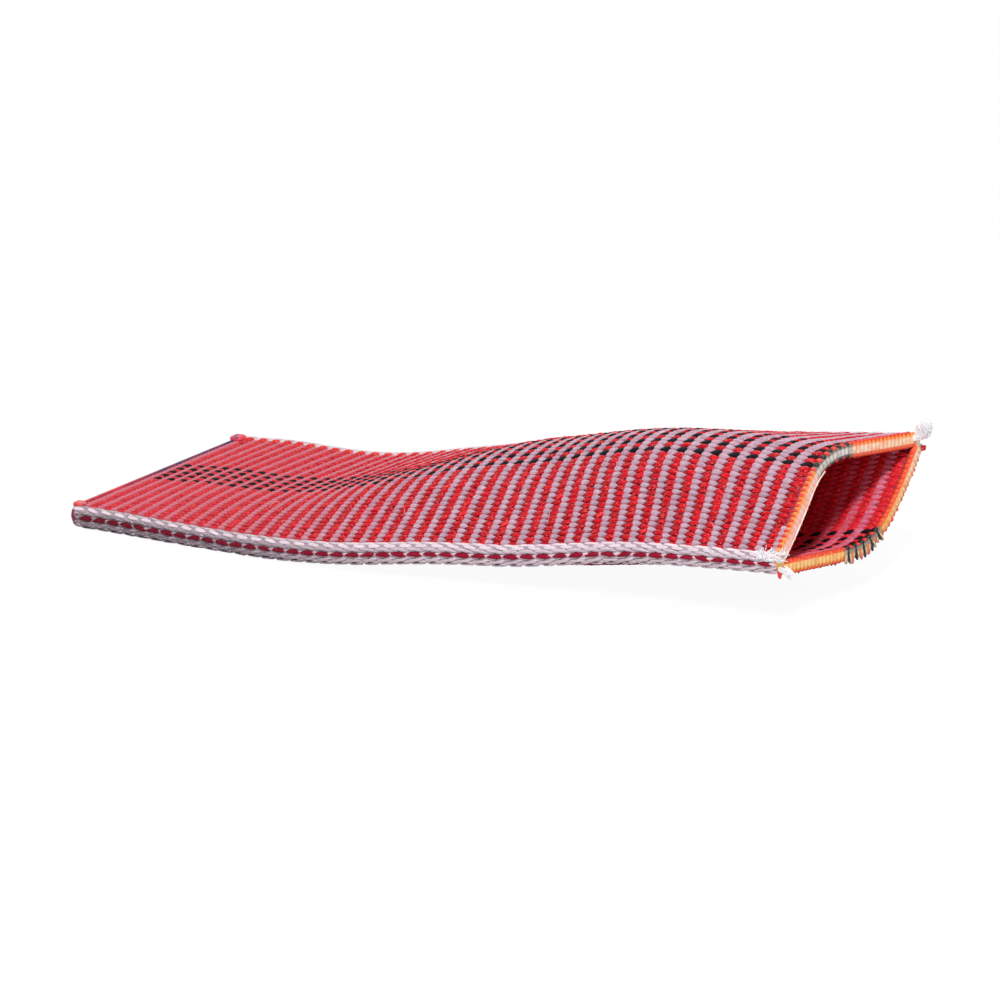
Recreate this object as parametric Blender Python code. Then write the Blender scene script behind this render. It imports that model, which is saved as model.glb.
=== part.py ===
"""Woven rope protector sleeve: a flat tubular webbing, lying down with one end open.

Metres, +Z up. +X runs along the sleeve to its open mouth, +Y runs across it from the near
selvedge to the far one. The origin is on the ground under the middle of the sleeve.

The tube is woven flat: an upper and a lower ply, joined along both selvedges. Each ply is
a warp-faced repp of white and red ends, with a marker stripe of black ends down its middle.
Both ends are heat cut. The tail is pressed flat and the mouth gapes, each ply turning over
along its marker stripe, so that the bore's section is a leaning parallelogram.
"""
import math

import bmesh
import bpy
import numpy as np
from mathutils import Vector

# The flat webbing, as it comes off the loom.
LENGTH = 0.200
FLAT_WIDTH = 0.060
PLY_THICKNESS = 0.0024

# The clearance between two pieces that touch.
FIT = 0.0003

# The marker stripe: black ends with a red end between each two.
MARKER_END_WIDTH = 0.0013
BLACK_ENDS = 5

# The selvedge: a white cord at each ply's edge, and the red end in the groove between them.
CORD_DIAMETER = 0.0024
FOLD_YARN_DIAMETER = 0.0007
CORD_SIDES = 8
FOLD_YARN_SIDES = 6

# The melted band at each heat cut.
CUT_BAND = 0.0013

# The frayed cord ends that stand out at the corners of the mouth.
TUFT_LENGTH = 0.0042
TUFT_ROOT_SHARES = (0.75, 1.0, 0.85, 0.35)
TUFT_SIDES = 8

# How the sleeve lies, at stations along its length. Tilts are those of the ply over the
# near and the far half of the bore, and the fold is the turn between the two tilts. The
# webbing spreads a little towards the tail, where it was pressed flat while hot.
STATION_SHARES = (0.0, 0.2, 0.4, 0.6, 0.8, 1.0)
NEAR_TILT_DEGREES = (0.0, 12.0, 25.0, 41.0, 51.0, 41.0)
FAR_TILT_DEGREES = (0.0, 0.0, -3.0, -14.0, -16.5, -7.5)
FOLD_PLACE_SHARES = (0.41, 0.20, 0.375, 0.47, 0.45, 0.445)
FOLD_SPREAD_SHARES = (0.60, 0.60, 0.43, 0.60, 0.41, 0.38)
SPREAD_WIDTH_SHARES = (1.09, 1.02, 1.0, 1.0, 1.0, 1.0)
SWAY_SHARES = (0.0, -0.045, -0.062, -0.003, 0.063, 0.087)
LIFT_SHARES = (0.0, 0.0, 0.0, 0.0, 0.04, 0.142)
PLAN_BEND_DEGREES = -4.3

# How finely the plies are drawn.
LENGTH_STEPS = 22
PANEL_STEPS = 7
SAMPLES_ACROSS = 65

HALF_FIT = FIT / 2
OUTER_FACE = HALF_FIT + PLY_THICKNESS
CORD_RADIUS = CORD_DIAMETER / 2
CORD_OFFSET = HALF_FIT + CORD_RADIUS
EDGE_TO_HINGE = CORD_RADIUS + CORD_OFFSET / 3
HINGE_WIDTH = FLAT_WIDTH - 2 * EDGE_TO_HINGE
CORD_INSET = EDGE_TO_HINGE - CORD_RADIUS
FOLD_YARN_RADIUS = FOLD_YARN_DIAMETER / 2
MARKER_ENDS = 2 * BLACK_ENDS - 1
STRIPE_WIDTH = MARKER_ENDS * MARKER_END_WIDTH
STRIPE_START = (HINGE_WIDTH - STRIPE_WIDTH) / 2

# Which cord ends are frayed, and which way each one curls.
FRAYED_ENDS = (
    ("far", "upper", (0.45, 0.25, 0.85)),
    ("near", "upper", (0.65, -0.60, 0.45)),
    ("near", "lower", (0.75, -0.30, -0.60)),
)

WHITE_YARN = (0.62, 0.55, 0.64, 1.0)
REPP_MIX = (0.66, 0.24, 0.27, 1.0)
RED_YARN = (0.72, 0.05, 0.07, 1.0)
DARK_RED_YARN = (0.34, 0.02, 0.05, 1.0)
BLACK_YARN = (0.02, 0.018, 0.022, 1.0)
MELTED_ORANGE = (0.92, 0.40, 0.20, 1.0)
MELTED_PURPLE = (0.24, 0.08, 0.16, 1.0)


def clear_scene():
    """Remove whatever the file holds."""
    for leftover in list(bpy.data.objects):
        bpy.data.objects.remove(leftover, do_unlink=True)


def make_material(name, colour, roughness):
    """A plain textile material."""
    material = bpy.data.materials.new(name)
    material.use_nodes = True
    shader = material.node_tree.nodes["Principled BSDF"]
    shader.inputs["Base Color"].default_value = colour
    shader.inputs["Roughness"].default_value = roughness
    shader.inputs["Metallic"].default_value = 0.0
    material.diffuse_color = colour
    return material


def along(table, shares):
    """A station table's value at shares of the length, smooth, and level along level stretches."""
    places = np.array(STATION_SHARES)
    values = np.array(table)
    rises = np.diff(values) / np.diff(places)
    slopes = np.zeros(len(values))
    slopes[-1] = rises[-1]
    for index in range(1, len(values) - 1):
        before, after = rises[index - 1], rises[index]
        if before != 0.0 and after != 0.0:
            slopes[index] = (before + after) / 2
    left = np.clip(np.searchsorted(places, shares, side="right") - 1, 0, len(places) - 2)
    gap = places[left + 1] - places[left]
    part = (shares - places[left]) / gap
    rest = 1.0 - part
    return (
        values[left] * rest ** 2 * (1.0 + 2.0 * part)
        + values[left + 1] * part ** 2 * (1.0 + 2.0 * rest)
        + gap * slopes[left] * part * rest ** 2
        - gap * slopes[left + 1] * rest * part ** 2
    )


def ply_curve(tilts, width):
    """The points, from hinge to hinge, of a ply whose tilt at each sample is given."""
    step = width / (SAMPLES_ACROSS - 1)
    middle = (tilts[1:] + tilts[:-1]) / 2
    across = np.concatenate(([0.0], np.cumsum(np.cos(middle) * step)))
    up = np.concatenate(([0.0], np.cumsum(np.sin(middle) * step)))
    return across, up


def station_lengths():
    """Lengths along the sleeve: the cut bands' ends, their clearances and the plies' steps."""
    first = CUT_BAND + FIT
    inner = np.linspace(first, LENGTH - first, LENGTH_STEPS + 1)
    return np.concatenate(([0.0, CUT_BAND], inner, [LENGTH - CUT_BAND, LENGTH]))


class Sleeve:
    """The inner faces of both plies as the sleeve lies, sampled along and across.

    The two plies have the same tilts in opposite order, so each section is closed by a half
    turn about its middle. Every warp end keeps its length: where it climbs it lags in X.
    """

    def __init__(self):
        self.lengths = station_lengths()
        self.across = np.linspace(0.0, HINGE_WIDTH, SAMPLES_ACROSS)
        shares = self.lengths / LENGTH
        near = np.radians(along(NEAR_TILT_DEGREES, shares))
        far = np.radians(along(FAR_TILT_DEGREES, shares))
        place = along(FOLD_PLACE_SHARES, shares)
        spread = along(FOLD_SPREAD_SHARES, shares)
        sway = along(SWAY_SHARES, shares) * FLAT_WIDTH
        lift = along(LIFT_SHARES, shares) * FLAT_WIDTH
        width = along(SPREAD_WIDTH_SHARES, shares) * HINGE_WIDTH
        self.axis = (near + far) / 2
        self.gape = (near - far) / 2
        count = len(self.lengths)
        self.tilts = {ply: np.zeros((count, SAMPLES_ACROSS)) for ply in ("upper", "lower")}
        self.points = {ply: np.zeros((count, SAMPLES_ACROSS, 3)) for ply in ("upper", "lower")}
        for index in range(count):
            from_fold = self.across / HINGE_WIDTH - place[index]
            turned = np.clip(from_fold / spread[index] + 0.5, 0.0, 1.0)
            turned = turned ** 2 * (3.0 - 2.0 * turned)
            self.tilts["upper"][index] = near[index] + (far[index] - near[index]) * turned
            self.tilts["lower"][index] = self.tilts["upper"][index][::-1]
            for ply in ("upper", "lower"):
                across, up = ply_curve(self.tilts[ply][index], width[index])
                self.points[ply][index, :, 1] = across + sway[index]
                self.points[ply][index, :, 2] = up
            height = self.height_above_ground(index) + lift[index]
            for ply in ("upper", "lower"):
                self.points[ply][index, :, 2] += height
        self.pay_out_warp()

    def height_above_ground(self, index):
        """How far the section has to rise for its lowest point to touch the ground."""
        up = self.points["lower"][index, :, 2]
        lowest = (up - np.cos(self.tilts["lower"][index]) * OUTER_FACE).min()
        axis = self.axis[index]
        for out, over in circle(CORD_RADIUS, CORD_SIDES):
            sideways = math.sin(axis) * (CORD_INSET + out)
            upright = math.cos(axis) * (over - CORD_OFFSET)
            lowest = min(lowest, up[0] - sideways + upright, up[-1] + sideways + upright)
        return -lowest

    def pay_out_warp(self):
        """Advance every warp end in X by what its climb leaves of each step's length."""
        steps = np.diff(self.lengths)[:, None]
        for ply in ("upper", "lower"):
            moves = np.diff(self.points[ply][:, :, 1:], axis=0)
            advance = np.sqrt(steps ** 2 - (moves ** 2).sum(axis=2))
            self.points[ply][1:, :, 0] = np.cumsum(advance, axis=0)

    def at(self, ply, index, width, height):
        """A point of a ply: a station, a distance from the near hinge, a height off its inner face."""
        place = [np.interp(width, self.across, self.points[ply][index, :, k]) for k in range(3)]
        tilt = np.interp(width, self.across, self.tilts[ply][index])
        side = 1.0 if ply == "upper" else -1.0
        place[1] -= side * math.sin(tilt) * height
        place[2] += side * math.cos(tilt) * height
        return bent(place)

    def beside(self, edge, index, outwards, upwards):
        """A point beside a selvedge's hinge, in the axes of the section at a station."""
        sample = 0 if edge == "near" else SAMPLES_ACROSS - 1
        side = -1.0 if edge == "near" else 1.0
        axis = self.axis[index]
        x, y, z = self.points["upper"][index, sample]
        y += side * outwards * math.cos(axis) - upwards * math.sin(axis)
        z += side * outwards * math.sin(axis) + upwards * math.cos(axis)
        return bent((x, y, z))

    def panel_margin(self, index):
        """How far from the hinge a ply's panel starts, to clear the cord at this gape."""
        gape = self.gape[index]
        return CORD_RADIUS + FIT - math.cos(gape) * CORD_INSET + math.sin(gape) * CORD_OFFSET


def bent(place):
    """A point moved with the sleeve's slight curve in plan."""
    radius = LENGTH / math.radians(PLAN_BEND_DEGREES)
    turn = place[0] / radius
    return (
        (radius - place[1]) * math.sin(turn),
        radius - (radius - place[1]) * math.cos(turn),
        place[2],
    )


def add_ring(bm, places):
    """A closed loop of edges through the places."""
    corners = [bm.verts.new(place) for place in places]
    return [bm.edges.new((corner, corners[(k + 1) % len(corners)])) for k, corner in enumerate(corners)]


def close_end(bm, loop):
    """A row of faces over a loop's end, between its first half and its second."""
    half = len(loop) // 2
    bmesh.ops.bridge_loops(bm, edges=loop[:half - 1] + loop[half:-1])


def loft(bm, rings):
    """A closed solid through the rings, each of an even number of points."""
    loops = [add_ring(bm, ring) for ring in rings]
    for first, second in zip(loops, loops[1:]):
        bmesh.ops.bridge_loops(bm, edges=first + second)
    close_end(bm, loops[0])
    close_end(bm, loops[-1])


def finish(name, bm, material, smooth_degrees):
    """An object from the solids in bm, shaded smooth up to an angle."""
    bmesh.ops.recalc_face_normals(bm, faces=bm.faces)
    mesh = bpy.data.meshes.new(name)
    bm.to_mesh(mesh)
    bm.free()
    mesh.shade_smooth()
    mesh.set_sharp_from_angle(angle=math.radians(smooth_degrees))
    mesh.materials.append(material)
    piece = bpy.data.objects.new(name, mesh)
    bpy.context.scene.collection.objects.link(piece)
    return piece


def band_ring(sleeve, ply, index, start, end, steps):
    """The outline of a ply's cross-section between two distances from the near hinge."""
    widths = np.linspace(start, end, steps + 1)
    outer = [sleeve.at(ply, index, width, OUTER_FACE) for width in widths]
    inner = [sleeve.at(ply, index, width, HALF_FIT) for width in widths[::-1]]
    return outer + inner


def ply_stations(sleeve):
    """The stations between the two cut bands."""
    return range(2, len(sleeve.lengths) - 2)


def make_near_panel(sleeve, ply, material):
    """The white and red ground between the near selvedge and the marker stripe."""
    bm = bmesh.new()
    end = STRIPE_START - HALF_FIT
    rings = [
        band_ring(sleeve, ply, k, sleeve.panel_margin(k), end, PANEL_STEPS) for k in ply_stations(sleeve)
    ]
    loft(bm, rings)
    return finish(f"{ply}_near_panel", bm, material, 30.0)


def make_far_panel(sleeve, ply, material):
    """The white and red ground between the marker stripe and the far selvedge."""
    bm = bmesh.new()
    start = STRIPE_START + STRIPE_WIDTH + HALF_FIT
    rings = [
        band_ring(sleeve, ply, k, start, HINGE_WIDTH - sleeve.panel_margin(k), PANEL_STEPS)
        for k in ply_stations(sleeve)
    ]
    loft(bm, rings)
    return finish(f"{ply}_far_panel", bm, material, 30.0)


def make_marker_end(sleeve, ply, order, colour, material):
    """One warp end of the marker stripe, counted from the near side."""
    bm = bmesh.new()
    start = STRIPE_START + order * MARKER_END_WIDTH + HALF_FIT
    end = start + MARKER_END_WIDTH - FIT
    loft(bm, [band_ring(sleeve, ply, k, start, end, 1) for k in ply_stations(sleeve)])
    return finish(f"{ply}_{colour}_end_{order // 2 + 1}", bm, material, 30.0)


def circle(radius, sides):
    """Offsets of a round yarn's section."""
    turns = [2 * math.pi * (k + 0.5) / sides for k in range(sides)]
    reach = radius / math.cos(math.pi / sides)
    return [(reach * math.cos(turn), reach * math.sin(turn)) for turn in turns]


def make_cord(sleeve, edge, ply, material):
    """The white cord that binds one ply's edge."""
    bm = bmesh.new()
    side = 1.0 if ply == "upper" else -1.0
    outline = circle(CORD_RADIUS, CORD_SIDES)
    rings = [
        [sleeve.beside(edge, k, CORD_INSET + out, side * CORD_OFFSET + up) for out, up in outline]
        for k in range(len(sleeve.lengths))
    ]
    loft(bm, rings)
    return finish(f"{edge}_selvedge_{ply}_cord", bm, material, 50.0)


def make_fold_yarn(sleeve, edge, material):
    """The red end that shows in the groove between the selvedge's two cords."""
    bm = bmesh.new()
    reach = CORD_RADIUS + FIT + FOLD_YARN_RADIUS
    outwards = CORD_INSET + math.sqrt(reach ** 2 - CORD_OFFSET ** 2)
    outline = circle(FOLD_YARN_RADIUS, FOLD_YARN_SIDES)
    rings = [
        [sleeve.beside(edge, k, outwards + out, up) for out, up in outline]
        for k in range(len(sleeve.lengths))
    ]
    loft(bm, rings)
    return finish(f"{edge}_fold_yarn", bm, material, 50.0)


def make_cut_band(sleeve, ply, end, material):
    """The melted band where the ply was heat cut."""
    bm = bmesh.new()
    last = len(sleeve.lengths) - 1
    stations = (0, 1) if end == "tail" else (last - 1, last)
    steps = 3 * PANEL_STEPS
    rings = []
    for k in stations:
        margin = sleeve.panel_margin(k)
        rings.append(band_ring(sleeve, ply, k, margin, HINGE_WIDTH - margin, steps))
    loft(bm, rings)
    return finish(f"{ply}_{end}_cut", bm, material, 30.0)


def make_tuft(sleeve, edge, ply, heading, material):
    """The frayed end of one selvedge cord at the mouth, curling away along a heading."""
    bm = bmesh.new()
    side = 1.0 if ply == "upper" else -1.0
    last = len(sleeve.lengths) - 1
    root = Vector(sleeve.beside(edge, last, CORD_INSET, side * CORD_OFFSET))
    root.x += FIT
    rings = []
    for order, share in enumerate(TUFT_ROOT_SHARES):
        done = order / (len(TUFT_ROOT_SHARES) - 1)
        way = Vector((1.0, 0.0, 0.0)).lerp(Vector(heading), done).normalized()
        turn = Vector((1.0, 0.0, 0.0)).rotation_difference(way)
        middle = root + way * (done * TUFT_LENGTH)
        outline = circle(CORD_RADIUS * share, TUFT_SIDES)
        rings.append([middle + turn @ Vector((0.0, out, up)) for out, up in outline])
    loft(bm, rings)
    return finish(f"{edge}_{ply}_frayed_end", bm, material, 50.0)


def centre_on_ground(pieces):
    """Move the pieces so that the origin is on the ground under their middle."""
    corners = np.array([vert.co for piece in pieces for vert in piece.data.vertices])
    low, high = corners.min(axis=0), corners.max(axis=0)
    middle = (low + high) / 2
    for piece in pieces:
        for vert in piece.data.vertices:
            vert.co.x -= middle[0]
            vert.co.y -= middle[1]
            vert.co.z -= low[2]


def build():
    """Every piece of the sleeve."""
    clear_scene()
    sleeve = Sleeve()
    pieces = []
    repp = make_material("white_and_red_repp", REPP_MIX, 0.85)
    red = make_material("red_yarn", RED_YARN, 0.8)
    black = make_material("black_yarn", BLACK_YARN, 0.8)
    white = make_material("white_cord", WHITE_YARN, 0.75)
    dark_red = make_material("dark_red_yarn", DARK_RED_YARN, 0.8)
    melted = {
        "mouth": make_material("melted_mouth_cut", MELTED_ORANGE, 0.55),
        "tail": make_material("melted_tail_cut", MELTED_PURPLE, 0.6),
    }
    for ply in ("upper", "lower"):
        pieces.append(make_near_panel(sleeve, ply, repp))
        pieces.append(make_far_panel(sleeve, ply, repp))
        for order in range(MARKER_ENDS):
            colour, material = ("red", red) if order % 2 else ("black", black)
            pieces.append(make_marker_end(sleeve, ply, order, colour, material))
        for end in ("tail", "mouth"):
            pieces.append(make_cut_band(sleeve, ply, end, melted[end]))
    for edge in ("near", "far"):
        for ply in ("upper", "lower"):
            pieces.append(make_cord(sleeve, edge, ply, white))
        pieces.append(make_fold_yarn(sleeve, edge, dark_red))
    for edge, ply, heading in FRAYED_ENDS:
        pieces.append(make_tuft(sleeve, edge, ply, heading, white))
    centre_on_ground(pieces)


build()
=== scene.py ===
"""A woven rope protector sleeve, lying down with one end open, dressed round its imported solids."""
import math

import bmesh
import bpy
import numpy as np
from mathutils import Matrix, Vector


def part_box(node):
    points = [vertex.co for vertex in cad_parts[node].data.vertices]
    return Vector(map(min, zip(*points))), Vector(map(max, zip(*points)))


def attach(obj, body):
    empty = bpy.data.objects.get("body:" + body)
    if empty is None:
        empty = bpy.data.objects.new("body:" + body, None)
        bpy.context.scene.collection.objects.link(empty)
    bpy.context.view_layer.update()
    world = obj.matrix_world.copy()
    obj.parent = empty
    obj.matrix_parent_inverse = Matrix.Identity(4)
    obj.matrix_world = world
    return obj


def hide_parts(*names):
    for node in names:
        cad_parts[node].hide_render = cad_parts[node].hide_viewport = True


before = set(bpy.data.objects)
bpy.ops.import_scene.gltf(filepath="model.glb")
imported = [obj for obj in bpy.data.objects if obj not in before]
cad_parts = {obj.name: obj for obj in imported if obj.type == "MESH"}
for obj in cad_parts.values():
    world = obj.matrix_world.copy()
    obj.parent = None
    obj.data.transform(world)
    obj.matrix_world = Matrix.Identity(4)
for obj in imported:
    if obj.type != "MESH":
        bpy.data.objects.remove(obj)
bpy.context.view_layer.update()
chance = np.random.default_rng(47)


# The ground of the two plies: weft yarn beaten tight between the warp ends, so that it shows
# only between the floats. Its dark red is the weft's red darkened as painted shade for those
# gaps. It is polyester, woven flat as one tube. The functions here say how the finished webbing
# lies, and every other piece is laid by them.
LENGTH = 0.200
FLAT_WIDTH = 0.060
PLY_THICKNESS = 0.0024
CLEARANCE = 0.0003
CUT_BAND = 0.0013
CORD_RADIUS = 0.0012
STATION_SHARES = (0.0, 0.2, 0.4, 0.6, 0.8, 1.0)
NEAR_TILT_DEGREES = (0.0, 12.0, 25.0, 41.0, 51.0, 41.0)
FAR_TILT_DEGREES = (0.0, 0.0, -3.0, -14.0, -16.5, -7.5)
FOLD_PLACE_SHARES = (0.41, 0.20, 0.375, 0.47, 0.45, 0.445)
FOLD_SPREAD_SHARES = (0.60, 0.60, 0.43, 0.60, 0.41, 0.38)
SPREAD_WIDTH_SHARES = (1.09, 1.02, 1.0, 1.0, 1.0, 1.0)
SWAY_SHARES = (0.0, -0.045, -0.062, -0.003, 0.063, 0.087)
LIFT_SHARES = (0.0, 0.0, 0.0, 0.0, 0.04, 0.142)
PLAN_BEND_DEGREES = -4.3
GROUND_INNER = 0.00070
GROUND_OUTER = 0.00195
GROUND_ROWS = 120
GROUND_COLUMNS = 48
# The weft's dark red, darkened as painted shade for the gaps, and its paler patches.
WEFT_RED = (0.20, 0.008, 0.02, 1)
WEFT_PALE = (0.36, 0.10, 0.15, 1)
WEFT_FINENESS = (900.0, 3500.0, 3500.0)
WEFT_BUMP = (0.4, 0.0001)
WEFT_SHEEN = 0.1
SMOOTH_DEGREES = 60.0
ROWS = 241
COLUMNS = 129
INNER_FACE = CLEARANCE / 2
OUTER_FACE = INNER_FACE + PLY_THICKNESS
CORD_OFFSET = INNER_FACE + CORD_RADIUS
EDGE_TO_HINGE = CORD_RADIUS + CORD_OFFSET / 3
CORD_INSET = EDGE_TO_HINGE - CORD_RADIUS
HINGE_WIDTH = FLAT_WIDTH - 2 * EDGE_TO_HINGE


def along(table):
    """A station table's value at each row along the length, smooth, and level where it is level."""
    shares = np.linspace(0.0, 1.0, ROWS)
    places = np.array(STATION_SHARES)
    values = np.array(table)
    rises = np.diff(values) / np.diff(places)
    slopes = np.zeros(len(values))
    slopes[-1] = rises[-1]
    for index in range(1, len(values) - 1):
        if rises[index - 1] != 0.0 and rises[index] != 0.0:
            slopes[index] = (rises[index - 1] + rises[index]) / 2
    left = np.clip(np.searchsorted(places, shares, side="right") - 1, 0, len(places) - 2)
    gap = places[left + 1] - places[left]
    part = (shares - places[left]) / gap
    rest = 1.0 - part
    return (
        values[left] * rest ** 2 * (1.0 + 2.0 * part)
        + values[left + 1] * part ** 2 * (1.0 + 2.0 * rest)
        + gap * slopes[left] * part * rest ** 2
        - gap * slopes[left + 1] * rest * part ** 2
    )


def lie_down():
    """Tables of X, Y, Z and tilt of both plies' inner faces, and of the sections' axes."""
    across = np.linspace(0.0, 1.0, COLUMNS)
    near = np.radians(along(NEAR_TILT_DEGREES))[:, None]
    far = np.radians(along(FAR_TILT_DEGREES))[:, None]
    from_fold = (across - along(FOLD_PLACE_SHARES)[:, None]) / along(FOLD_SPREAD_SHARES)[:, None]
    turned = np.clip(from_fold + 0.5, 0.0, 1.0)
    turned = turned ** 2 * (3.0 - 2.0 * turned)
    upper_tilt = near + (far - near) * turned
    axis = ((near + far) / 2)[:, 0]
    step = along(SPREAD_WIDTH_SHARES)[:, None] * HINGE_WIDTH / (COLUMNS - 1)
    tables = {}
    for ply, tilt in (("upper", upper_tilt), ("lower", upper_tilt[:, ::-1])):
        middle = (tilt[:, 1:] + tilt[:, :-1]) / 2
        y = np.pad(np.cumsum(np.cos(middle) * step, axis=1), ((0, 0), (1, 0)))
        z = np.pad(np.cumsum(np.sin(middle) * step, axis=1), ((0, 0), (1, 0)))
        tables[ply] = [np.zeros_like(y), y + along(SWAY_SHARES)[:, None] * FLAT_WIDTH, z, tilt]
    z = tables["lower"][2]
    lowest = (z - np.cos(tables["lower"][3]) * OUTER_FACE).min(axis=1)
    below = np.cos(axis) * CORD_OFFSET + CORD_RADIUS
    lowest = np.minimum(lowest, z[:, 0] - np.sin(axis) * CORD_INSET - below)
    lowest = np.minimum(lowest, z[:, -1] + np.sin(axis) * CORD_INSET - below)
    for ply in tables:
        table = tables[ply]
        table[2] = table[2] - lowest[:, None] + along(LIFT_SHARES)[:, None] * FLAT_WIDTH
        climbs = np.diff(table[1], axis=0) ** 2 + np.diff(table[2], axis=0) ** 2
        table[0][1:] = np.cumsum(np.sqrt((LENGTH / (ROWS - 1)) ** 2 - climbs), axis=0)
    return tables, axis


plies, section_axis = lie_down()


def between(table, length, width):
    """A table's values at lengths and widths, carried straight on past the table's edges."""
    row = length / LENGTH * (ROWS - 1)
    column = width / HINGE_WIDTH * (COLUMNS - 1)
    left = np.clip(np.floor(row).astype(int), 0, ROWS - 2)
    low = np.clip(np.floor(column).astype(int), 0, COLUMNS - 2)
    u, v = row - left, column - low
    first = table[left, low] * (1 - v) + table[left, low + 1] * v
    second = table[left + 1, low] * (1 - v) + table[left + 1, low + 1] * v
    return first * (1 - u) + second * u


def bent(x, y, z):
    """Places moved with the slight curve that the sleeve has in plan."""
    radius = LENGTH / math.radians(PLAN_BEND_DEGREES)
    turn = x / radius
    return np.stack(((radius - y) * np.sin(turn), radius - (radius - y) * np.cos(turn), z), axis=-1)


def on_ply(ply, length, width, height):
    """Places at lengths, at widths from the near hinge and at heights off the ply's inner face."""
    x, y, z, tilt = (between(table, length, width) for table in plies[ply])
    side = 1.0 if ply == "upper" else -1.0
    return bent(x, y - side * np.sin(tilt) * height, z + side * np.cos(tilt) * height) + packed_shift


def by_fold(edge, length, out, up):
    """Places by a selvedge's fold, at distances out from the hinge and up from the tube's middle."""
    far = edge == "far"
    side = 1.0 if far else -1.0
    x, y, z = (between(table, length, HINGE_WIDTH * far) for table in plies["upper"][:3])
    axis = between(section_axis[:, None].repeat(2, axis=1), length, 0.0 * length)
    return bent(
        x,
        y + side * out * np.cos(axis) - up * np.sin(axis),
        z + side * out * np.sin(axis) + up * np.cos(axis),
    ) + packed_shift


def find_packed_shift():
    """From the tail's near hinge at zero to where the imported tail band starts."""
    margin = CORD_RADIUS + CLEARANCE - CORD_INSET
    start = between(plies["upper"][1], np.zeros(1), np.full(1, margin))[0]
    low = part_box("upper_tail_cut")[0]
    return np.array((low[0], low[1] - start, 0.0))


packed_shift = find_packed_shift()


def move_to(bm, places):
    """Every vertex of bm moved to its place."""
    for vert, place in zip(bm.verts, places):
        vert.co = place
    bm.normal_update()


def form_to(bm, places):
    """Every vertex of a closed form moved to its place, and the form's faces turned outwards."""
    move_to(bm, places)
    bmesh.ops.recalc_face_normals(bm, faces=bm.faces)


def flat_places(bm):
    """The vertices' places while the piece is still flat: length, width and height."""
    return np.array([vert.co for vert in bm.verts]).T


def piece_from(name, bm, material):
    """A finished piece in its material, which rides on the sleeve's one body."""
    mesh = bpy.data.meshes.new(name)
    bm.to_mesh(mesh)
    bm.free()
    mesh.shade_smooth()
    mesh.set_sharp_from_angle(angle=math.radians(SMOOTH_DEGREES))
    mesh.materials.append(material)
    piece = bpy.data.objects.new(name, mesh)
    bpy.context.scene.collection.objects.link(piece)
    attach(piece, "root")
    return piece


def new_material(name, roughness):
    """A material's tree, its links and its Principled shader."""
    material = bpy.data.materials.new(name)
    material.use_nodes = True
    tree = material.node_tree
    shader = tree.nodes["Principled BSDF"]
    shader.inputs["Roughness"].default_value = roughness
    return material, tree, shader


def mixed(tree, factor, first, second):
    """A colour mix of two colours or sockets by a socket or a number."""
    mix = tree.nodes.new("ShaderNodeMix")
    mix.data_type = "RGBA"
    for socket, value in ((mix.inputs[0], factor), (mix.inputs[6], first), (mix.inputs[7], second)):
        if isinstance(value, bpy.types.NodeSocket):
            tree.links.new(value, socket)
        else:
            socket.default_value = value
    return mix.outputs[2]


def spread(tree, value, low, high, to_low=0.0, to_high=1.0):
    """A value's range from low to high, spread over another range and clamped."""
    node = tree.nodes.new("ShaderNodeMapRange")
    tree.links.new(value, node.inputs["Value"])
    node.inputs["From Min"].default_value = low
    node.inputs["From Max"].default_value = high
    node.inputs["To Min"].default_value = to_low
    node.inputs["To Max"].default_value = to_high
    return node.outputs["Result"]


def object_place(tree):
    """A point's place on the object, as a socket."""
    return tree.nodes.new("ShaderNodeTexCoord").outputs["Object"]


def split(tree, vector):
    """A vector socket's three numbers, as sockets."""
    node = tree.nodes.new("ShaderNodeSeparateXYZ")
    tree.links.new(vector, node.inputs[0])
    return node.outputs["X"], node.outputs["Y"], node.outputs["Z"]


def noise(tree, vector, scale, detail=2.0):
    """Noise on a vector socket."""
    node = tree.nodes.new("ShaderNodeTexNoise")
    tree.links.new(vector, node.inputs["Vector"])
    node.inputs["Scale"].default_value = scale
    node.inputs["Detail"].default_value = detail
    return node.outputs["Fac"]


def stretched(tree, vector, scale):
    """A vector socket scaled along its three axes."""
    node = tree.nodes.new("ShaderNodeMapping")
    node.inputs["Scale"].default_value = scale
    tree.links.new(vector, node.inputs["Vector"])
    return node.outputs["Vector"]


def bumped(tree, shader, height, strength, distance):
    """Bump on the shader's normal."""
    node = tree.nodes.new("ShaderNodeBump")
    node.inputs["Strength"].default_value = strength
    node.inputs["Distance"].default_value = distance
    tree.links.new(height, node.inputs["Height"])
    tree.links.new(node.outputs["Normal"], shader.inputs["Normal"])


def patched_material(name, roughness, fineness, first, second, low, high, detail=2.0, bump=None):
    """A material in patches of two colours, as fine along each axis as three numbers say."""
    material, tree, shader = new_material(name, roughness)
    patches = noise(tree, stretched(tree, object_place(tree), fineness), 1.0, detail)
    colour = mixed(tree, spread(tree, patches, low, high), first, second)
    tree.links.new(colour, shader.inputs["Base Color"])
    if bump:
        bumped(tree, shader, patches, *bump)
    return material, shader


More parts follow.
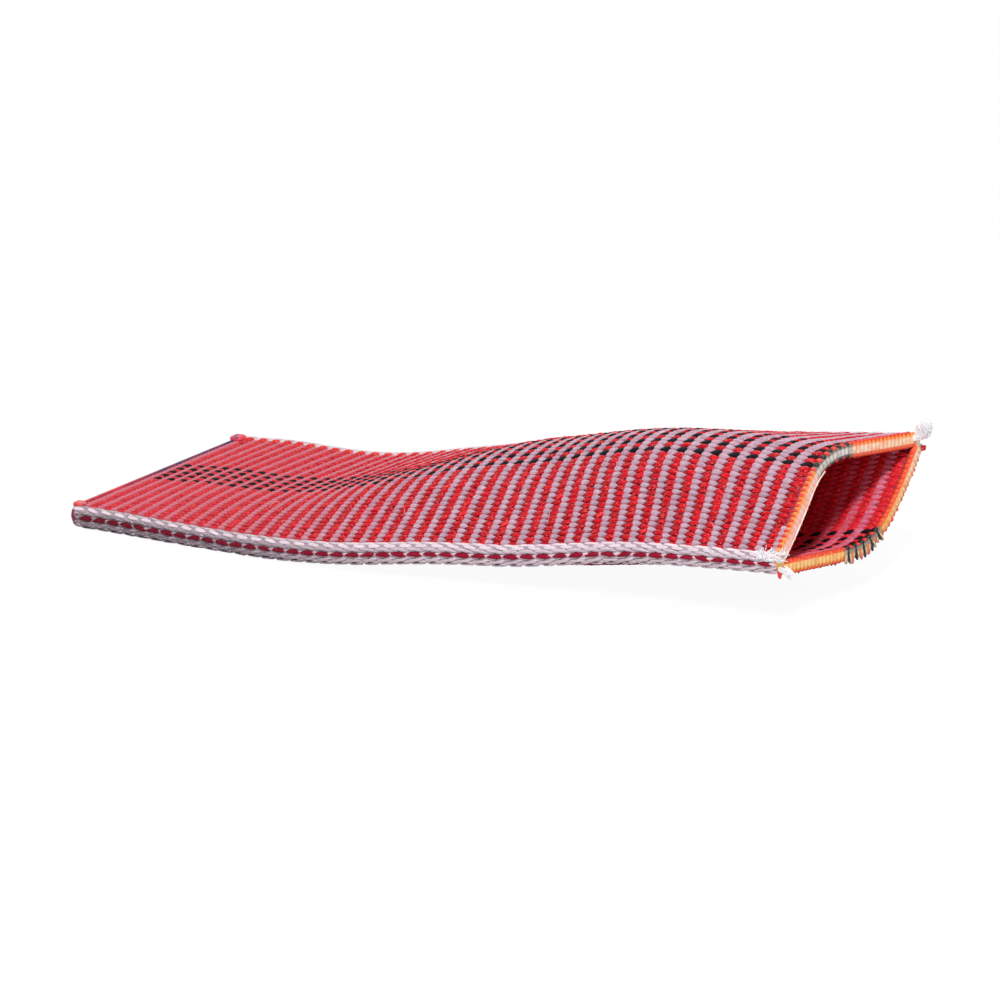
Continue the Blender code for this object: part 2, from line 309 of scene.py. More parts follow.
def make_ground(ply, material):
    """One ply's slab of weft, drawn flat, given its thickness and then laid."""
    bm = bmesh.new()
    bmesh.ops.create_grid(bm, x_segments=GROUND_ROWS, y_segments=GROUND_COLUMNS, size=0.5)
    margin = EDGE_TO_HINGE / 3
    bmesh.ops.scale(bm, vec=(LENGTH - CUT_BAND, HINGE_WIDTH + margin, 1.0), verts=bm.verts)
    bmesh.ops.translate(bm, vec=(LENGTH / 2, HINGE_WIDTH / 2, GROUND_INNER), verts=bm.verts)
    raised = bmesh.ops.extrude_face_region(bm, geom=bm.faces[:], use_keep_orig=True)["geom"]
    raised = [item for item in raised if isinstance(item, bmesh.types.BMVert)]
    bmesh.ops.translate(bm, vec=(0.0, 0.0, GROUND_OUTER - GROUND_INNER), verts=raised)
    length, width, height = flat_places(bm)
    form_to(bm, on_ply(ply, length, width, height))
    return piece_from(f"{ply}_ply_ground", bm, material)


packed_weft, shader = patched_material(
    "packed_weft", 0.9, WEFT_FINENESS, WEFT_RED, WEFT_PALE, 0.35, 0.65, bump=WEFT_BUMP
)
shader.inputs["Sheen Weight"].default_value = WEFT_SHEEN
grounds = {ply: make_ground(ply, packed_weft) for ply in ("upper", "lower")}
for ply, ground in grounds.items():
    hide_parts(f"{ply}_near_panel", f"{ply}_far_panel")


# The white warp ends. Each comes to the face once in a row of the weave, as a fat bundle of
# polyester filaments with a blunt end towards the tail and a sharp tip towards the mouth. Side
# by side they make a pale bar across the webbing, with teeth. The inside of the tube is alike in
# shape; there the whites are drawn pink as painted red light, and deep red further in from the
# mouth as painted shade.
WEAVE_ROWS = 47
ROW_PITCH = (LENGTH - 2 * CUT_BAND) / WEAVE_ROWS
END_PITCH = 0.0013
MARKER_ENDS = 9
GROUND_ENDS = 17
FLOAT_RISE = 0.00062
FLOAT_PLACES = (0.0, 0.05, 0.10, 0.20)
LEVEL = (0.0, 0.0, 0.0, 0.0)
ALIKE = (1.0, 1.0, 1.0, 1.0)
NEAR_BOW_ROWS = (0.95, 0.80, 0.64, 0.52, 0.33, 0.38)
STRIPE_BOW_ROWS = (1.05, 1.06, 0.95, 0.62, 0.78, 0.20)
FAR_BOW_ROWS = (1.15, 0.85, 0.60, 0.45, 0.45, 0.30)
WHITE_LENGTH = 0.67 * ROW_PITCH
WHITE_WIDTH = 1.16 * END_PITCH
WHITE_PHASE = 0.30
WHITE_LOOSENESS = {
    "turn": 3.5,
    "swell": 0.05,
    "sink": 0.00003,
    "lifts": (-0.00018, -0.00016, -0.00010, 0.00003),
    "stretches": (0.80, 0.84, 1.0, 1.0),
}
UNDERSIDE_SINK = 0.00030
STRIPE_START = (HINGE_WIDTH - MARKER_ENDS * END_PITCH) / 2
WHITE_ENDS = [STRIPE_START + k * END_PITCH for k in range(1 - GROUND_ENDS, MARKER_ENDS + GROUND_ENDS)]
LEAF_SIDES = 8
LEAF_RINGS = 8
RING_PLACES = (-1.0, -0.92, -0.71, -0.38, 0.0, 0.38, 0.71, 0.92, 1.0)
WHITE_PLAN_SHARES = (0.0, 0.84, 1.0, 1.0, 0.94, 0.54, 0.25, 0.08, 0.0)
WHITE_CREST_SHARES = (0.0, 0.50, 0.90, 1.0, 1.0, 1.0, 0.96, 0.92, 0.88)
CREST_ROUNDNESS = 0.55
STREAK_STRETCH = (1.2, 5.0, 61.0)
GLINT_STRETCH = (2.6, 6.0, 83.0)
YARN_BUMP = 0.00006
YARN_SPECULAR = 0.12
# Each yarn's colours: its own; a darker one for its streaks, its random tone and the painted shade on its
# flanks and start; and a painted glint.
WHITES = ((0.68, 0.46, 0.55, 1), (0.34, 0.16, 0.23, 1), (0.92, 0.74, 0.82, 1))
# Inside the tube the whites are pink as painted red light, and turn deep red further in from the mouth as
# painted shade.
INNER_WHITES = ((0.98, 0.42, 0.62, 1), (0.56, 0.02, 0.06, 1), (1.0, 0.80, 0.90, 1))
# Outside, the whites turn towards this pink towards the tail.
PINK = (0.66, 0.12, 0.16, 1.0)
INSIDE_PAINTED_SHADE = (0.80, 0.012, 0.035, 1)


def everything(bm):
    """All of a bmesh's geometry as it is now."""
    return bm.verts[:] + bm.edges[:] + bm.faces[:]


def leaf(length, width, rise, plan, crest):
    """Half a spindle along X, flat underneath, its crown at zero and its tip at the positive end."""
    bm = bmesh.new()
    bmesh.ops.create_uvsphere(bm, u_segments=LEAF_SIDES, v_segments=LEAF_RINGS, radius=1.0)
    bmesh.ops.rotate(bm, matrix=Matrix.Rotation(math.pi / 2, 3, "Y"), verts=bm.verts)
    bmesh.ops.bisect_plane(
        bm,
        geom=everything(bm),
        dist=0.001,
        plane_co=(0.0, 0.0, 0.0),
        plane_no=(0.0, 0.0, 1.0),
        clear_inner=True,
    )
    bmesh.ops.contextual_create(bm, geom=[edge for edge in bm.edges if edge.is_boundary])
    for vert in bm.verts:
        ring = math.hypot(vert.co.y, vert.co.z)
        aside, up = (vert.co.y / ring, max(vert.co.z / ring, 0.0)) if ring > 0.01 else (0.0, 0.5)
        vert.co.y = aside * np.interp(vert.co.x, RING_PLACES, plan) * width / 2
        vert.co.z = rise * (up ** CREST_ROUNDNESS * np.interp(vert.co.x, RING_PLACES, crest) - 1.0)
        vert.co.x *= length / 2
    bm.normal_update()
    bmesh.ops.recalc_face_normals(bm, faces=bm.faces)
    packed = bpy.data.meshes.new("leaf")
    bm.to_mesh(packed)
    bm.clear()
    bm.from_mesh(packed)
    bpy.data.meshes.remove(packed)
    return bm


def repeat(bm, geometry, moves):
    """Copies of some geometry at each move past the first, in order, and all of it moved."""
    for move in moves[1:]:
        copy = bmesh.ops.duplicate(bm, geom=geometry)["geom"]
        copied = [item for item in copy if isinstance(item, bmesh.types.BMVert)]
        bmesh.ops.translate(bm, vec=move, verts=copied)
    bmesh.ops.translate(bm, vec=moves[0], verts=[v for v in geometry if isinstance(v, bmesh.types.BMVert)])


def loosened(length, width, height, corners, turn, swell, sink, lifts=LEVEL, stretches=ALIKE):
    """Every float sized for its place, then turned, swollen and sunk by chance, and its number."""
    count = len(length) // corners
    which = np.arange(len(length)) // corners
    middle_length = length.reshape(count, corners).mean(axis=1)[which]
    middle_width = width.reshape(count, corners).mean(axis=1)[which]
    angle = chance.normal(0.0, math.radians(turn), count)[which]
    size = (1.0 + chance.normal(0.0, swell, count))[which]
    along_yarn, beside_yarn = length - middle_length, (width - middle_width) * size
    along_yarn = along_yarn * np.interp(middle_length, FLOAT_PLACES, stretches)
    height = height - np.abs(chance.normal(0.0, sink, count))[which]
    height = height + np.interp(middle_length, FLOAT_PLACES, lifts)
    return (
        middle_length + along_yarn * np.cos(angle) - beside_yarn * np.sin(angle),
        middle_width + along_yarn * np.sin(angle) + beside_yarn * np.cos(angle),
        height,
        chance.random(count)[which],
    )


def bowed(length, width):
    """Lengths moved towards the tail with the bow that the rows of the weave have."""
    share = width / HINGE_WIDTH
    near, stripe, far = (
        between(along(table)[:, None].repeat(2, axis=1), length, 0.0 * length)
        for table in (NEAR_BOW_ROWS, STRIPE_BOW_ROWS, FAR_BOW_ROWS)
    )
    rows = near * 2 * (share - 0.5) * (share - 1) + stripe * 4 * share * (1 - share)
    return length - (rows + far * 2 * share * (share - 0.5)) * ROW_PITCH


def within_cuts(bm, corners, length, *others):
    """What is left of the floats, and of their numbers, between the two cuts."""
    middle = length.reshape(len(length) // corners, corners).mean(axis=1)
    kept = ((middle > CUT_BAND) & (middle < LENGTH - CUT_BAND)).repeat(corners)
    dropped = [vert for vert, keep in zip(bm.verts[:], kept) if not keep]
    bmesh.ops.delete(bm, geom=dropped, context="VERTS")
    return [values[kept] for values in (length, *others)]


def yarn_places(bm, corners):
    """Where each vertex is on its own float, from -1 to 1 along and across, before it is laid."""
    length, width, height = flat_places(bm)
    shape = (len(length) // corners, corners)
    result = []
    for values in (length, width):
        values = values.reshape(shape)
        values = values - (values.max(axis=1, keepdims=True) + values.min(axis=1, keepdims=True)) / 2
        result.append((values / np.abs(values).max(axis=1, keepdims=True)).ravel())
    return result


def rows_at(phase):
    """Lengths of one place in every row of the weave."""
    return [CUT_BAND + (k + phase) * ROW_PITCH for k in range(WEAVE_ROWS + 1)]


def woven(bm, lengths, widths, edge=None, **looseness):
    """The float in bm repeated at each length of each end, end by end, loosened, bowed and cut.

    Floats of a selvedge's edge take the bow there. The result is their lengths, widths and
    heights, their places along and across the yarn with their luck, and how far along they
    are from their row.
    """
    corners = len(bm.verts)
    repeat(bm, everything(bm), [Vector((length, 0.0, 0.0)) for length in lengths])
    repeat(bm, everything(bm), [Vector((0.0, width, 0.0)) for width in widths])
    yarn = yarn_places(bm, corners)
    length, width, height, luck = loosened(*flat_places(bm), corners, **looseness)
    row = np.array(lengths)[np.arange(len(length)) // corners % len(lengths)]
    bow_width = width if edge is None else 0.0 * width + HINGE_WIDTH * (edge == "far")
    laid = bowed(length, bow_width), width, height, *yarn, luck, length - row
    length, width, height, *yarn, from_row = within_cuts(bm, corners, *laid)
    return length, width, height, yarn, from_row


def note_yarn(piece, along_yarn, across_yarn, luck):
    """Keeps on the mesh where each vertex is on its yarn, for the filaments' pattern."""
    attribute = piece.data.attributes.new("yarn", "FLOAT_VECTOR", "POINT")
    attribute.data.foreach_set("vector", np.stack((along_yarn, across_yarn, luck), axis=1).ravel())


def make_floats(name, ply, face, one, lengths, widths, material, looseness):
    """A piece of floats on one face of a ply."""
    length, width, height, yarn, _ = woven(one, lengths, widths, **looseness)
    outside = OUTER_FACE - (UNDERSIDE_SINK if ply == "lower" else 0.0)
    height = outside + height if face == "outer" else INNER_FACE - height
    move_to(one, on_ply(ply, length, width, height))
    if (ply == "lower") != (face == "inner"):
        bmesh.ops.reverse_faces(one, faces=one.faces)
    piece = piece_from(name, one, material)
    note_yarn(piece, *yarn)
    return piece


def yarn_place(tree):
    """A point's place along and across its own yarn, with the yarn's luck, as a socket."""
    yarn = tree.nodes.new("ShaderNodeAttribute")
    yarn.attribute_name = "yarn"
    return yarn.outputs["Vector"]


def yarn_material(
    name, colours, glint_share, roughness,
    shaded_start=0.0, unlike=0.35, shade=None, tint_share=0.0, tint_places=(-0.02, -0.08), tint_colour=PINK,
):
    """Filament yarn: streaks, painted flank and start shade, painted glints, a tint by place, no two
    floats alike.
    """
    colour, streak_and_painted_shade, glint = colours
    material, tree, shader = new_material(name, roughness)
    yarn = yarn_place(tree)
    along_yarn, across_yarn, luck = split(tree, yarn)
    filaments = noise(tree, stretched(tree, yarn, STREAK_STRETCH), 1.0, 3.0)
    flank = tree.nodes.new("ShaderNodeMath")
    flank.operation = "ABSOLUTE"
    tree.links.new(across_yarn, flank.inputs[0])
    # Random tone by each float's luck; on cords and folds the luck also carries their painted shade.
    base = mixed(tree, spread(tree, luck, 0.0, 1.0, 0.0, unlike), colour, shade or streak_and_painted_shade)
    base = mixed(tree, spread(tree, filaments, 0.62, 0.38, 0.0, 0.45), base, streak_and_painted_shade)
    # Painted shade on the flanks, and at the start where the float dips under its neighbours.
    base = mixed(tree, spread(tree, flank.outputs[0], 0.55, 1.0, 0.0, 0.75), base, streak_and_painted_shade)
    base = mixed(tree, spread(tree, along_yarn, 0.0, -0.75, 0.0, shaded_start), base, streak_and_painted_shade)
    # Painted glints: bright specks along the filaments.
    specks = noise(tree, stretched(tree, yarn, GLINT_STRETCH), 1.0, 1.0)
    base = mixed(tree, spread(tree, specks, 0.60, 0.70, 0.0, glint_share), base, glint)
    # A colour mixed in by place along the sleeve: inside, painted shade further in from the mouth;
    # outside, a duller pink towards the tail, which also evens out the painted shade and glints there.
    towards_mouth = split(tree, object_place(tree))[0]
    base = mixed(tree, spread(tree, towards_mouth, *tint_places, 0.0, tint_share), base, tint_colour)
    tree.links.new(base, shader.inputs["Base Color"])
    bumped(tree, shader, filaments, 0.5, YARN_BUMP)
    shader.inputs["Specular IOR Level"].default_value = YARN_SPECULAR
    return material


white_yarn = yarn_material(
    "white_polyester", WHITES, 0.7, 0.5, unlike=0.45, tint_share=0.80, tint_places=(0.0, -0.06)
)
inner_white_yarn = yarn_material(
    "white_polyester_inside", INNER_WHITES, 0.8, 0.5,
    tint_share=0.95, tint_places=(0.100, 0.080), tint_colour=INSIDE_PAINTED_SHADE,
)
white_rows = rows_at(WHITE_PHASE)
floats = {"upper": [], "lower": []}
for ply in ("upper", "lower"):
    for face in ("outer", "inner"):
        one = leaf(WHITE_LENGTH, WHITE_WIDTH, FLOAT_RISE, WHITE_PLAN_SHARES, WHITE_CREST_SHARES)
        yarn = white_yarn if face == "outer" else inner_white_yarn
        floats[ply].append(make_floats(
            f"{ply}_ply_{face}_white_floats", ply, face, one, white_rows, WHITE_ENDS, yarn,
            WHITE_LOOSENESS,
        ))


# The red warp ends, which come to the face between the white rows. Their yarn is spun looser
# than the white, so each float is a ragged lump that starts in the dark between two white tips;
# that dark start is painted shade. In the marker stripe a red end stands between each two black ones.
RED_RISE = 0.00082
INNER_RED_RISE = 0.00074
RED_LENGTH = 0.84 * ROW_PITCH
RED_WIDTH = 1.12 * END_PITCH
RED_PHASE = 0.72
RED_PLAN_SHARES = (0.0, 0.45, 0.78, 1.0, 1.0, 1.0, 0.96, 0.75, 0.0)
RED_CREST_SHARES = (0.02, 0.06, 0.16, 0.44, 0.86, 1.0, 0.92, 0.64, 0.0)
RED_STRETCHES = (1.08, 1.06, 1.0, 1.0)
RED_LOOSENESS = {"turn": 9.0, "swell": 0.10, "sink": 0.00009, "stretches": RED_STRETCHES}
REDS = ((0.85, 0.006, 0.018, 1), (0.12, 0.0003, 0.006, 1), (1.0, 0.20, 0.19, 1))
# Inside the tube the reds are brighter and their darker colour lighter: painted red light.
INNER_REDS = ((1.0, 0.03, 0.05, 1), (0.55, 0.004, 0.015, 1), (1.0, 0.20, 0.18, 1))
# Outside, the reds turn halfway to this duller red towards the tail.
TAILWARD_RED = (0.70, 0.055, 0.075, 1)
COLOURED_PLACES = range(1 - GROUND_ENDS, MARKER_ENDS + GROUND_ENDS - 1)
BLACK_PLACES = (0, 2, 4, 6, 8)


def ends_at(places):
    """Widths of coloured ends, which are counted from the marker stripe's near side."""
    return [STRIPE_START + (k + 0.5) * END_PITCH for k in places]


def coloured_leaf(length, width, rise, plan=RED_PLAN_SHARES):
    """A float of coloured yarn, with its foot as deep as the foot of a white one."""
    bm = leaf(length, width, rise, plan, RED_CREST_SHARES)
    bmesh.ops.translate(bm, vec=(0.0, 0.0, rise - FLOAT_RISE), verts=bm.verts)
    return bm


red_yarn = yarn_material(
    "red_polyester", REDS, 1.0, 0.6,
    shaded_start=0.95, tint_share=0.5, tint_places=(-0.02, -0.085), tint_colour=TAILWARD_RED,
)
inner_red_yarn = yarn_material("red_polyester_inside", INNER_REDS, 0.9, 0.6)
coloured_rows = rows_at(RED_PHASE)
red_ends = ends_at(k for k in COLOURED_PLACES if k not in BLACK_PLACES)
for ply in ("upper", "lower"):
    for face, rise, yarn in (("outer", RED_RISE, red_yarn), ("inner", INNER_RED_RISE, inner_red_yarn)):
        one = coloured_leaf(RED_LENGTH, RED_WIDTH, rise)
        floats[ply].append(make_floats(
            f"{ply}_ply_{face}_red_floats", ply, face, one, coloured_rows, red_ends, yarn,
            RED_LOOSENESS,
        ))
        if face == "outer":
            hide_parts(*(f"{ply}_red_end_{k}" for k in range(1, 5)))


# The last red end at each side of each ply. It has no neighbour to hold it straight, so its
# floats are long and lean over against the white cord of the selvedge.
EDGE_PLACES = {"near": -GROUND_ENDS, "far": MARKER_ENDS + GROUND_ENDS - 1}
EDGE_LENGTH = 0.86 * ROW_PITCH
EDGE_WIDTH = 1.02 * END_PITCH
EDGE_PLAN_SHARES = (0.0, 0.50, 0.80, 0.97, 1.0, 0.92, 0.70, 0.40, 0.0)
EDGE_LEAN_DEGREES = 9.0
EDGE_LOOSENESS = {"turn": 4.0, "swell": 0.04, "sink": 0.00003}
EDGE_LIFTS = {
    "near_upper": (-0.0003, -0.0003, -0.0002, -0.0002),
    "far_upper": (0.0002, 0.0002, -0.0003, -0.0004),
    "near_lower": (-0.0006, -0.0006, -0.0006, -0.0006),
    "far_lower": (-0.0003, -0.0003, -0.0003, -0.0003),
}
# The far edge's red floats take a lighter, more orange red than the rest: painted light.
LIT_REDS = ((0.92, 0.07, 0.05, 1), (0.50, 0.01, 0.015, 1), (1.0, 0.30, 0.22, 1))
edge_yarns = {"near": red_yarn, "far": yarn_material("lit_red_polyester", LIT_REDS, 0.7, 0.6)}
for ply in ("upper", "lower"):
    for edge, place in EDGE_PLACES.items():
        one = coloured_leaf(EDGE_LENGTH, EDGE_WIDTH, RED_RISE, EDGE_PLAN_SHARES)
        lean = Matrix.Rotation(math.radians(EDGE_LEAN_DEGREES), 3, "Z")
        bmesh.ops.rotate(one, matrix=lean, verts=one.verts)
        floats[ply].append(make_floats(
            f"{ply}_ply_{edge}_edge_red_floats", ply, "outer", one, coloured_rows, ends_at([place]),
            edge_yarns[edge], {**EDGE_LOOSENESS, "lifts": EDGE_LIFTS[f"{edge}_{ply}"]},
        ))


# The black warp ends of the marker stripe, five to a ply. They take the place of red ends,
# so their floats stand in the red rows as short dashes between the white ones.
BLACK_LENGTH = 0.80 * ROW_PITCH
BLACK_WIDTH = 1.04 * END_PITCH
BLACK_LOOSENESS = {"turn": 5.0, "swell": 0.04, "sink": 0.00003, "stretches": RED_STRETCHES}
BLACKS = ((0.013, 0.010, 0.014, 1), (0.004, 0.003, 0.005, 1), (0.04, 0.034, 0.045, 1))
black_yarn = yarn_material("black_polyester", BLACKS, 0.4, 0.7)
black_ends = ends_at(BLACK_PLACES)
for ply in ("upper", "lower"):
    for face in ("outer", "inner"):
        one = coloured_leaf(BLACK_LENGTH, BLACK_WIDTH, RED_RISE)
        floats[ply].append(make_floats(
            f"{ply}_ply_{face}_black_floats", ply, face, one, coloured_rows, black_ends, black_yarn,
            BLACK_LOOSENESS,
        ))
        if face == "outer":
            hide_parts(*(f"{ply}_black_end_{k}" for k in range(1, 6)))


# The white cords of the selvedges, one at each edge of each ply. Each is a core of weft turns
# with white warp ends laid over it in staggered rows, so that it looks plaited. Where a cord
# bears on the ground, its floats are pressed flat. The floats carry painted shade: more towards
# the tail and on the lower cords' rows, little on the far edge, and none on the upper cords' row
# that faces the lamp, which stays light as a painted highlight.
CORE_RADIUS = 0.00085
CORE_SIDES = 12
CORE_STEPS = 120
CORE_DARK = (0.34, 0.26, 0.31, 1)
CORE_PALE = (0.56, 0.47, 0.53, 1)
CORE_FINENESS = (800.0, 2600.0, 2600.0)
CORE_BUMP = (0.5, 0.0001)
CORD_FLOAT_RISE = 0.00040
CORD_FLOAT_WIDTH = 0.00112
CORD_PLAN_SHARES = (0.0, 0.62, 0.90, 1.0, 1.0, 0.93, 0.72, 0.42, 0.0)
CORD_CREST_SHARES = (0.20, 0.62, 0.88, 1.0, 1.0, 0.95, 0.82, 0.60, 0.25)
CORD_SLANT = math.tan(math.radians(-5.0))
CORD_ROW_DEGREES = (-36.0, 4.0, 44.0, 84.0, 122.0)
CORD_ROW_PHASES = (0.25, 0.75, 0.25, 0.75, 0.25)
CORD_ROW_LIFTS = {
    "upper": (0.0, 0.0, 0.00010, 0.00012, 0.0),
    "lower": (0.0, 0.0, 0.00006, 0.00038, 0.00042),
}
# Painted shade on the cord floats, by row round each cord, by length and by edge.
CORD_ROW_PAINTED_SHADES = {"upper": (0.62, 0.52, 0.0, 0.42, 0.52), "lower": (0.60, 0.78, 0.92, 1.0, 1.0)}
CORD_ROW_SHARES = (0.98, 0.98, 0.78, 0.98, 0.98)
CORD_PAINTED_SHADE_BY_LENGTH = (1.35, 1.15, 0.22, 0.04)
CORD_PAINTED_SHADE_BY_EDGE = {"near": 1.0, "far": 0.15}
CORD_LUCK = 0.15
CORD_LOOSENESS = {"turn": 5.0, "swell": 0.06, "sink": 0.00004}
CORD_WHITES = ((0.97, 0.80, 0.86, 1), (0.62, 0.44, 0.51, 1), (1.0, 1.0, 1.0, 1))
CORD_PAINTED_SHADE_COLOUR = (0.10, 0.075, 0.095, 1)
PRESSED = 0.05


def rod(sides, steps):
    """A capped tube of unit radius along X from zero to one."""
    bm = bmesh.new()
    bmesh.ops.create_circle(bm, segments=sides, radius=1.0, cap_ends=True)
    bmesh.ops.rotate(bm, matrix=Matrix.Rotation(math.pi / 2, 3, "Y"), verts=bm.verts)
    cap = bm.faces[:]
    for step in range(steps):
        grown = bmesh.ops.extrude_face_region(bm, geom=cap)["geom"]
        if step:
            bmesh.ops.delete(bm, geom=cap, context="FACES_ONLY")
        cap = [item for item in grown if isinstance(item, bmesh.types.BMFace)]
        moved = [item for item in grown if isinstance(item, bmesh.types.BMVert)]
        bmesh.ops.translate(bm, vec=(1.0 / steps, 0.0, 0.0), verts=moved)
    return bm


def on_cord(edge, ply, length, angle, radius):
    """Places round a selvedge cord, at angles from outwards towards its own ply's outer face."""
    up = CORD_OFFSET + radius * np.sin(angle)
    return by_fold(edge, length, CORD_INSET + radius * np.cos(angle), up if ply == "upper" else -up)


def cord_painted_shade(edge, length, luck, depth):
    """Painted shade on a selvedge's floats, by its edge, their lengths and a depth, plus their luck."""
    by_length = np.interp(length, FLOAT_PLACES, CORD_PAINTED_SHADE_BY_LENGTH)
    return depth * CORD_PAINTED_SHADE_BY_EDGE[edge] * by_length + CORD_LUCK * luck


def make_cord_floats(edge, ply, material):
    """The staggered white floats over a cord."""
    whole = bmesh.new()
    notes = []
    rows_round = zip(
        CORD_ROW_DEGREES, CORD_ROW_PHASES, CORD_ROW_SHARES, CORD_ROW_LIFTS[ply], CORD_ROW_PAINTED_SHADES[ply]
    )
    for degrees, phase, share, lift, shade in rows_round:
        one = leaf(
            share * ROW_PITCH, CORD_FLOAT_WIDTH, CORD_FLOAT_RISE, CORD_PLAN_SHARES, CORD_CREST_SHARES
        )
        length, arc, height, (along_yarn, across_yarn, luck), from_row = woven(
            one, rows_at(phase), [0.0], edge, **CORD_LOOSENESS
        )
        angle = math.radians(degrees) + (arc + from_row * CORD_SLANT) / CORD_RADIUS
        places = on_cord(edge, ply, length, angle, CORD_RADIUS + lift + height)
        places[:, 2] = np.where(places[:, 2] < 0.0, PRESSED * places[:, 2], places[:, 2])
        move_to(one, places)
        # The third number of each float's note is its painted shade with its luck.
        notes.append((along_yarn, across_yarn, cord_painted_shade(edge, length, luck, shade)))
        laid = bpy.data.meshes.new("laid_row")
        one.to_mesh(laid)
        one.free()
        whole.from_mesh(laid)
        bpy.data.meshes.remove(laid)
    if (edge == "far") == (ply == "upper"):
        bmesh.ops.reverse_faces(whole, faces=whole.faces)
    piece = piece_from(f"{edge}_selvedge_{ply}_cord_floats", whole, material)
    note_yarn(piece, *(np.concatenate(values) for values in zip(*notes)))


cord_yarn = yarn_material("white_cord_polyester", CORD_WHITES, 0.9, 0.4, unlike=1.0, shade=CORD_PAINTED_SHADE_COLOUR)
white_core, _ = patched_material(
    "white_core", 0.8, CORE_FINENESS, CORE_DARK, CORE_PALE, 0.0, 1.0, bump=CORE_BUMP
)
for edge in ("near", "far"):
    for ply in ("upper", "lower"):
        bm = rod(CORE_SIDES, CORE_STEPS)
        share, side, up = flat_places(bm)
        length = CUT_BAND / 2 + share * (LENGTH - CUT_BAND)
        form_to(bm, on_cord(edge, ply, length, np.arctan2(up, side), CORE_RADIUS))
        core = piece_from(f"{edge}_selvedge_{ply}_cord_core", bm, white_core)
        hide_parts(f"{edge}_selvedge_{ply}_cord")
        make_cord_floats(edge, ply, cord_yarn)


# The fold between the two cords of a selvedge: weft turns and white warp, with one red end
# pulled in tight. It shows once a row as a dark red arrow with its point towards the mouth.
# Its floats carry the cords' painted shade, more towards the tail.
FOLD_RADIUS = 0.00078
FOLD_SIDES = 10
FOLD_DEPTH = 0.00094
FOLD_FLOAT_RISE = 0.00042
FOLD_WHITE_LENGTH = 0.70 * ROW_PITCH
FOLD_WHITE_WIDTH = 0.00100
FOLD_WHITE_SINK = 0.00020
FOLD_WHITE_PHASE = 0.22
TICK_WIDTH = 0.00126
TICK_PHASE = 0.75
TICK_PLAN_SHARES = (0.0, 0.40, 0.55, 0.72, 0.94, 1.0, 0.62, 0.22, 0.0)
TICK_STRETCHES = (1.0, 1.0, 1.0, 0.96)
FOLD_LOOSENESS = {"turn": 4.0, "swell": 0.08, "sink": 0.00003}
FOLD_PAINTED_SHADE = 0.6
DARK_REDS = ((0.44, 0.006, 0.036, 1), (0.17, 0.002, 0.016, 1), (0.70, 0.08, 0.12, 1))
DARK_RED_PAINTED_SHADE = (0.07, 0.002, 0.010, 1)


def make_fold_floats(name, edge, phase, size, depth, stretches, material):
    """A piece of floats in the groove between the two cords of a selvedge."""
    one = leaf(*size, FOLD_FLOAT_RISE, TICK_PLAN_SHARES, WHITE_CREST_SHARES)
    length, side, height, (along_yarn, across_yarn, luck), _ = woven(
        one, rows_at(phase), [0.0], edge, **FOLD_LOOSENESS, stretches=stretches
    )
    move_to(one, by_fold(edge, length, CORD_INSET + depth + FOLD_FLOAT_RISE + height, side))
    if edge == "far":
        bmesh.ops.reverse_faces(one, faces=one.faces)
    piece = piece_from(name, one, material)
    note_yarn(piece, along_yarn, across_yarn, cord_painted_shade(edge, length, luck, FOLD_PAINTED_SHADE))
    return piece


dark_red_yarn = yarn_material(
    "dark_red_polyester", DARK_REDS, 0.5, 0.65, unlike=0.9, shade=DARK_RED_PAINTED_SHADE
)
for edge in ("near", "far"):
    bm = rod(FOLD_SIDES, CORE_STEPS)
    share, side, up = flat_places(bm)
    length = CUT_BAND / 2 + share * (LENGTH - CUT_BAND)
    form_to(bm, by_fold(edge, length, CORD_INSET + side * FOLD_RADIUS, up * FOLD_RADIUS))
    piece_from(f"{edge}_fold_core", bm, white_core)
    make_fold_floats(
        f"{edge}_fold_white_floats", edge, FOLD_WHITE_PHASE, (FOLD_WHITE_LENGTH, FOLD_WHITE_WIDTH),
        FOLD_DEPTH - FOLD_WHITE_SINK, ALIKE, cord_yarn,
    )
    ticks = make_fold_floats(
        f"{edge}_fold_red_ticks", edge, TICK_PHASE, (ROW_PITCH, TICK_WIDTH),
        FOLD_DEPTH, TICK_STRETCHES, dark_red_yarn,
    )
    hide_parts(f"{edge}_fold_yarn")


# The hot-cut mouth. The knife melts the yarn ends of each ply into one glassy bead: peach and
# orange where they were white and red, grey in the marker stripe. The bead stands a little
# proud of the cloth, and it runs on round both corners over the ends of the cords.
LIP_PLACES = (0.0, 0.37, 0.41, 0.59, 0.63, 1.0)
LIP_INNER_BULGES = {
    "upper": (0.0010, 0.0010, 0.00040, 0.00030, 0.0006, 0.0007),
    "lower": (0.0003, 0.0003, 0.0001, 0.0001, 0.0003, 0.0003),
}
LIP_OUTER_BULGES = {
    "upper": (0.0, 0.0, 0.0, 0.0, 0.00015, 0.00015),
    "lower": (0.0002, 0.0002, -0.0003, -0.0003, 0.0001, 0.0002),
}
LIP_RIBS = {"upper": (0.2, 0.2, 0.5, 0.5, 1.0, 1.0), "lower": (1.2, 1.2, 0.8, 0.8, 1.0, 1.0)}
RIB_HEIGHT = 0.00008
MOUTH_CORNER_DEPTH = 0.00118
MOUTH_CORNER_HEIGHT = 0.0025
LIP_SIDES = 16
LIP_STEPS = 352
LIP_SQUARENESS = 0.6
MELT_CLOUDS = 700.0
MELT_SPECKS = 1400.0
MELT_BUMP = 0.00012
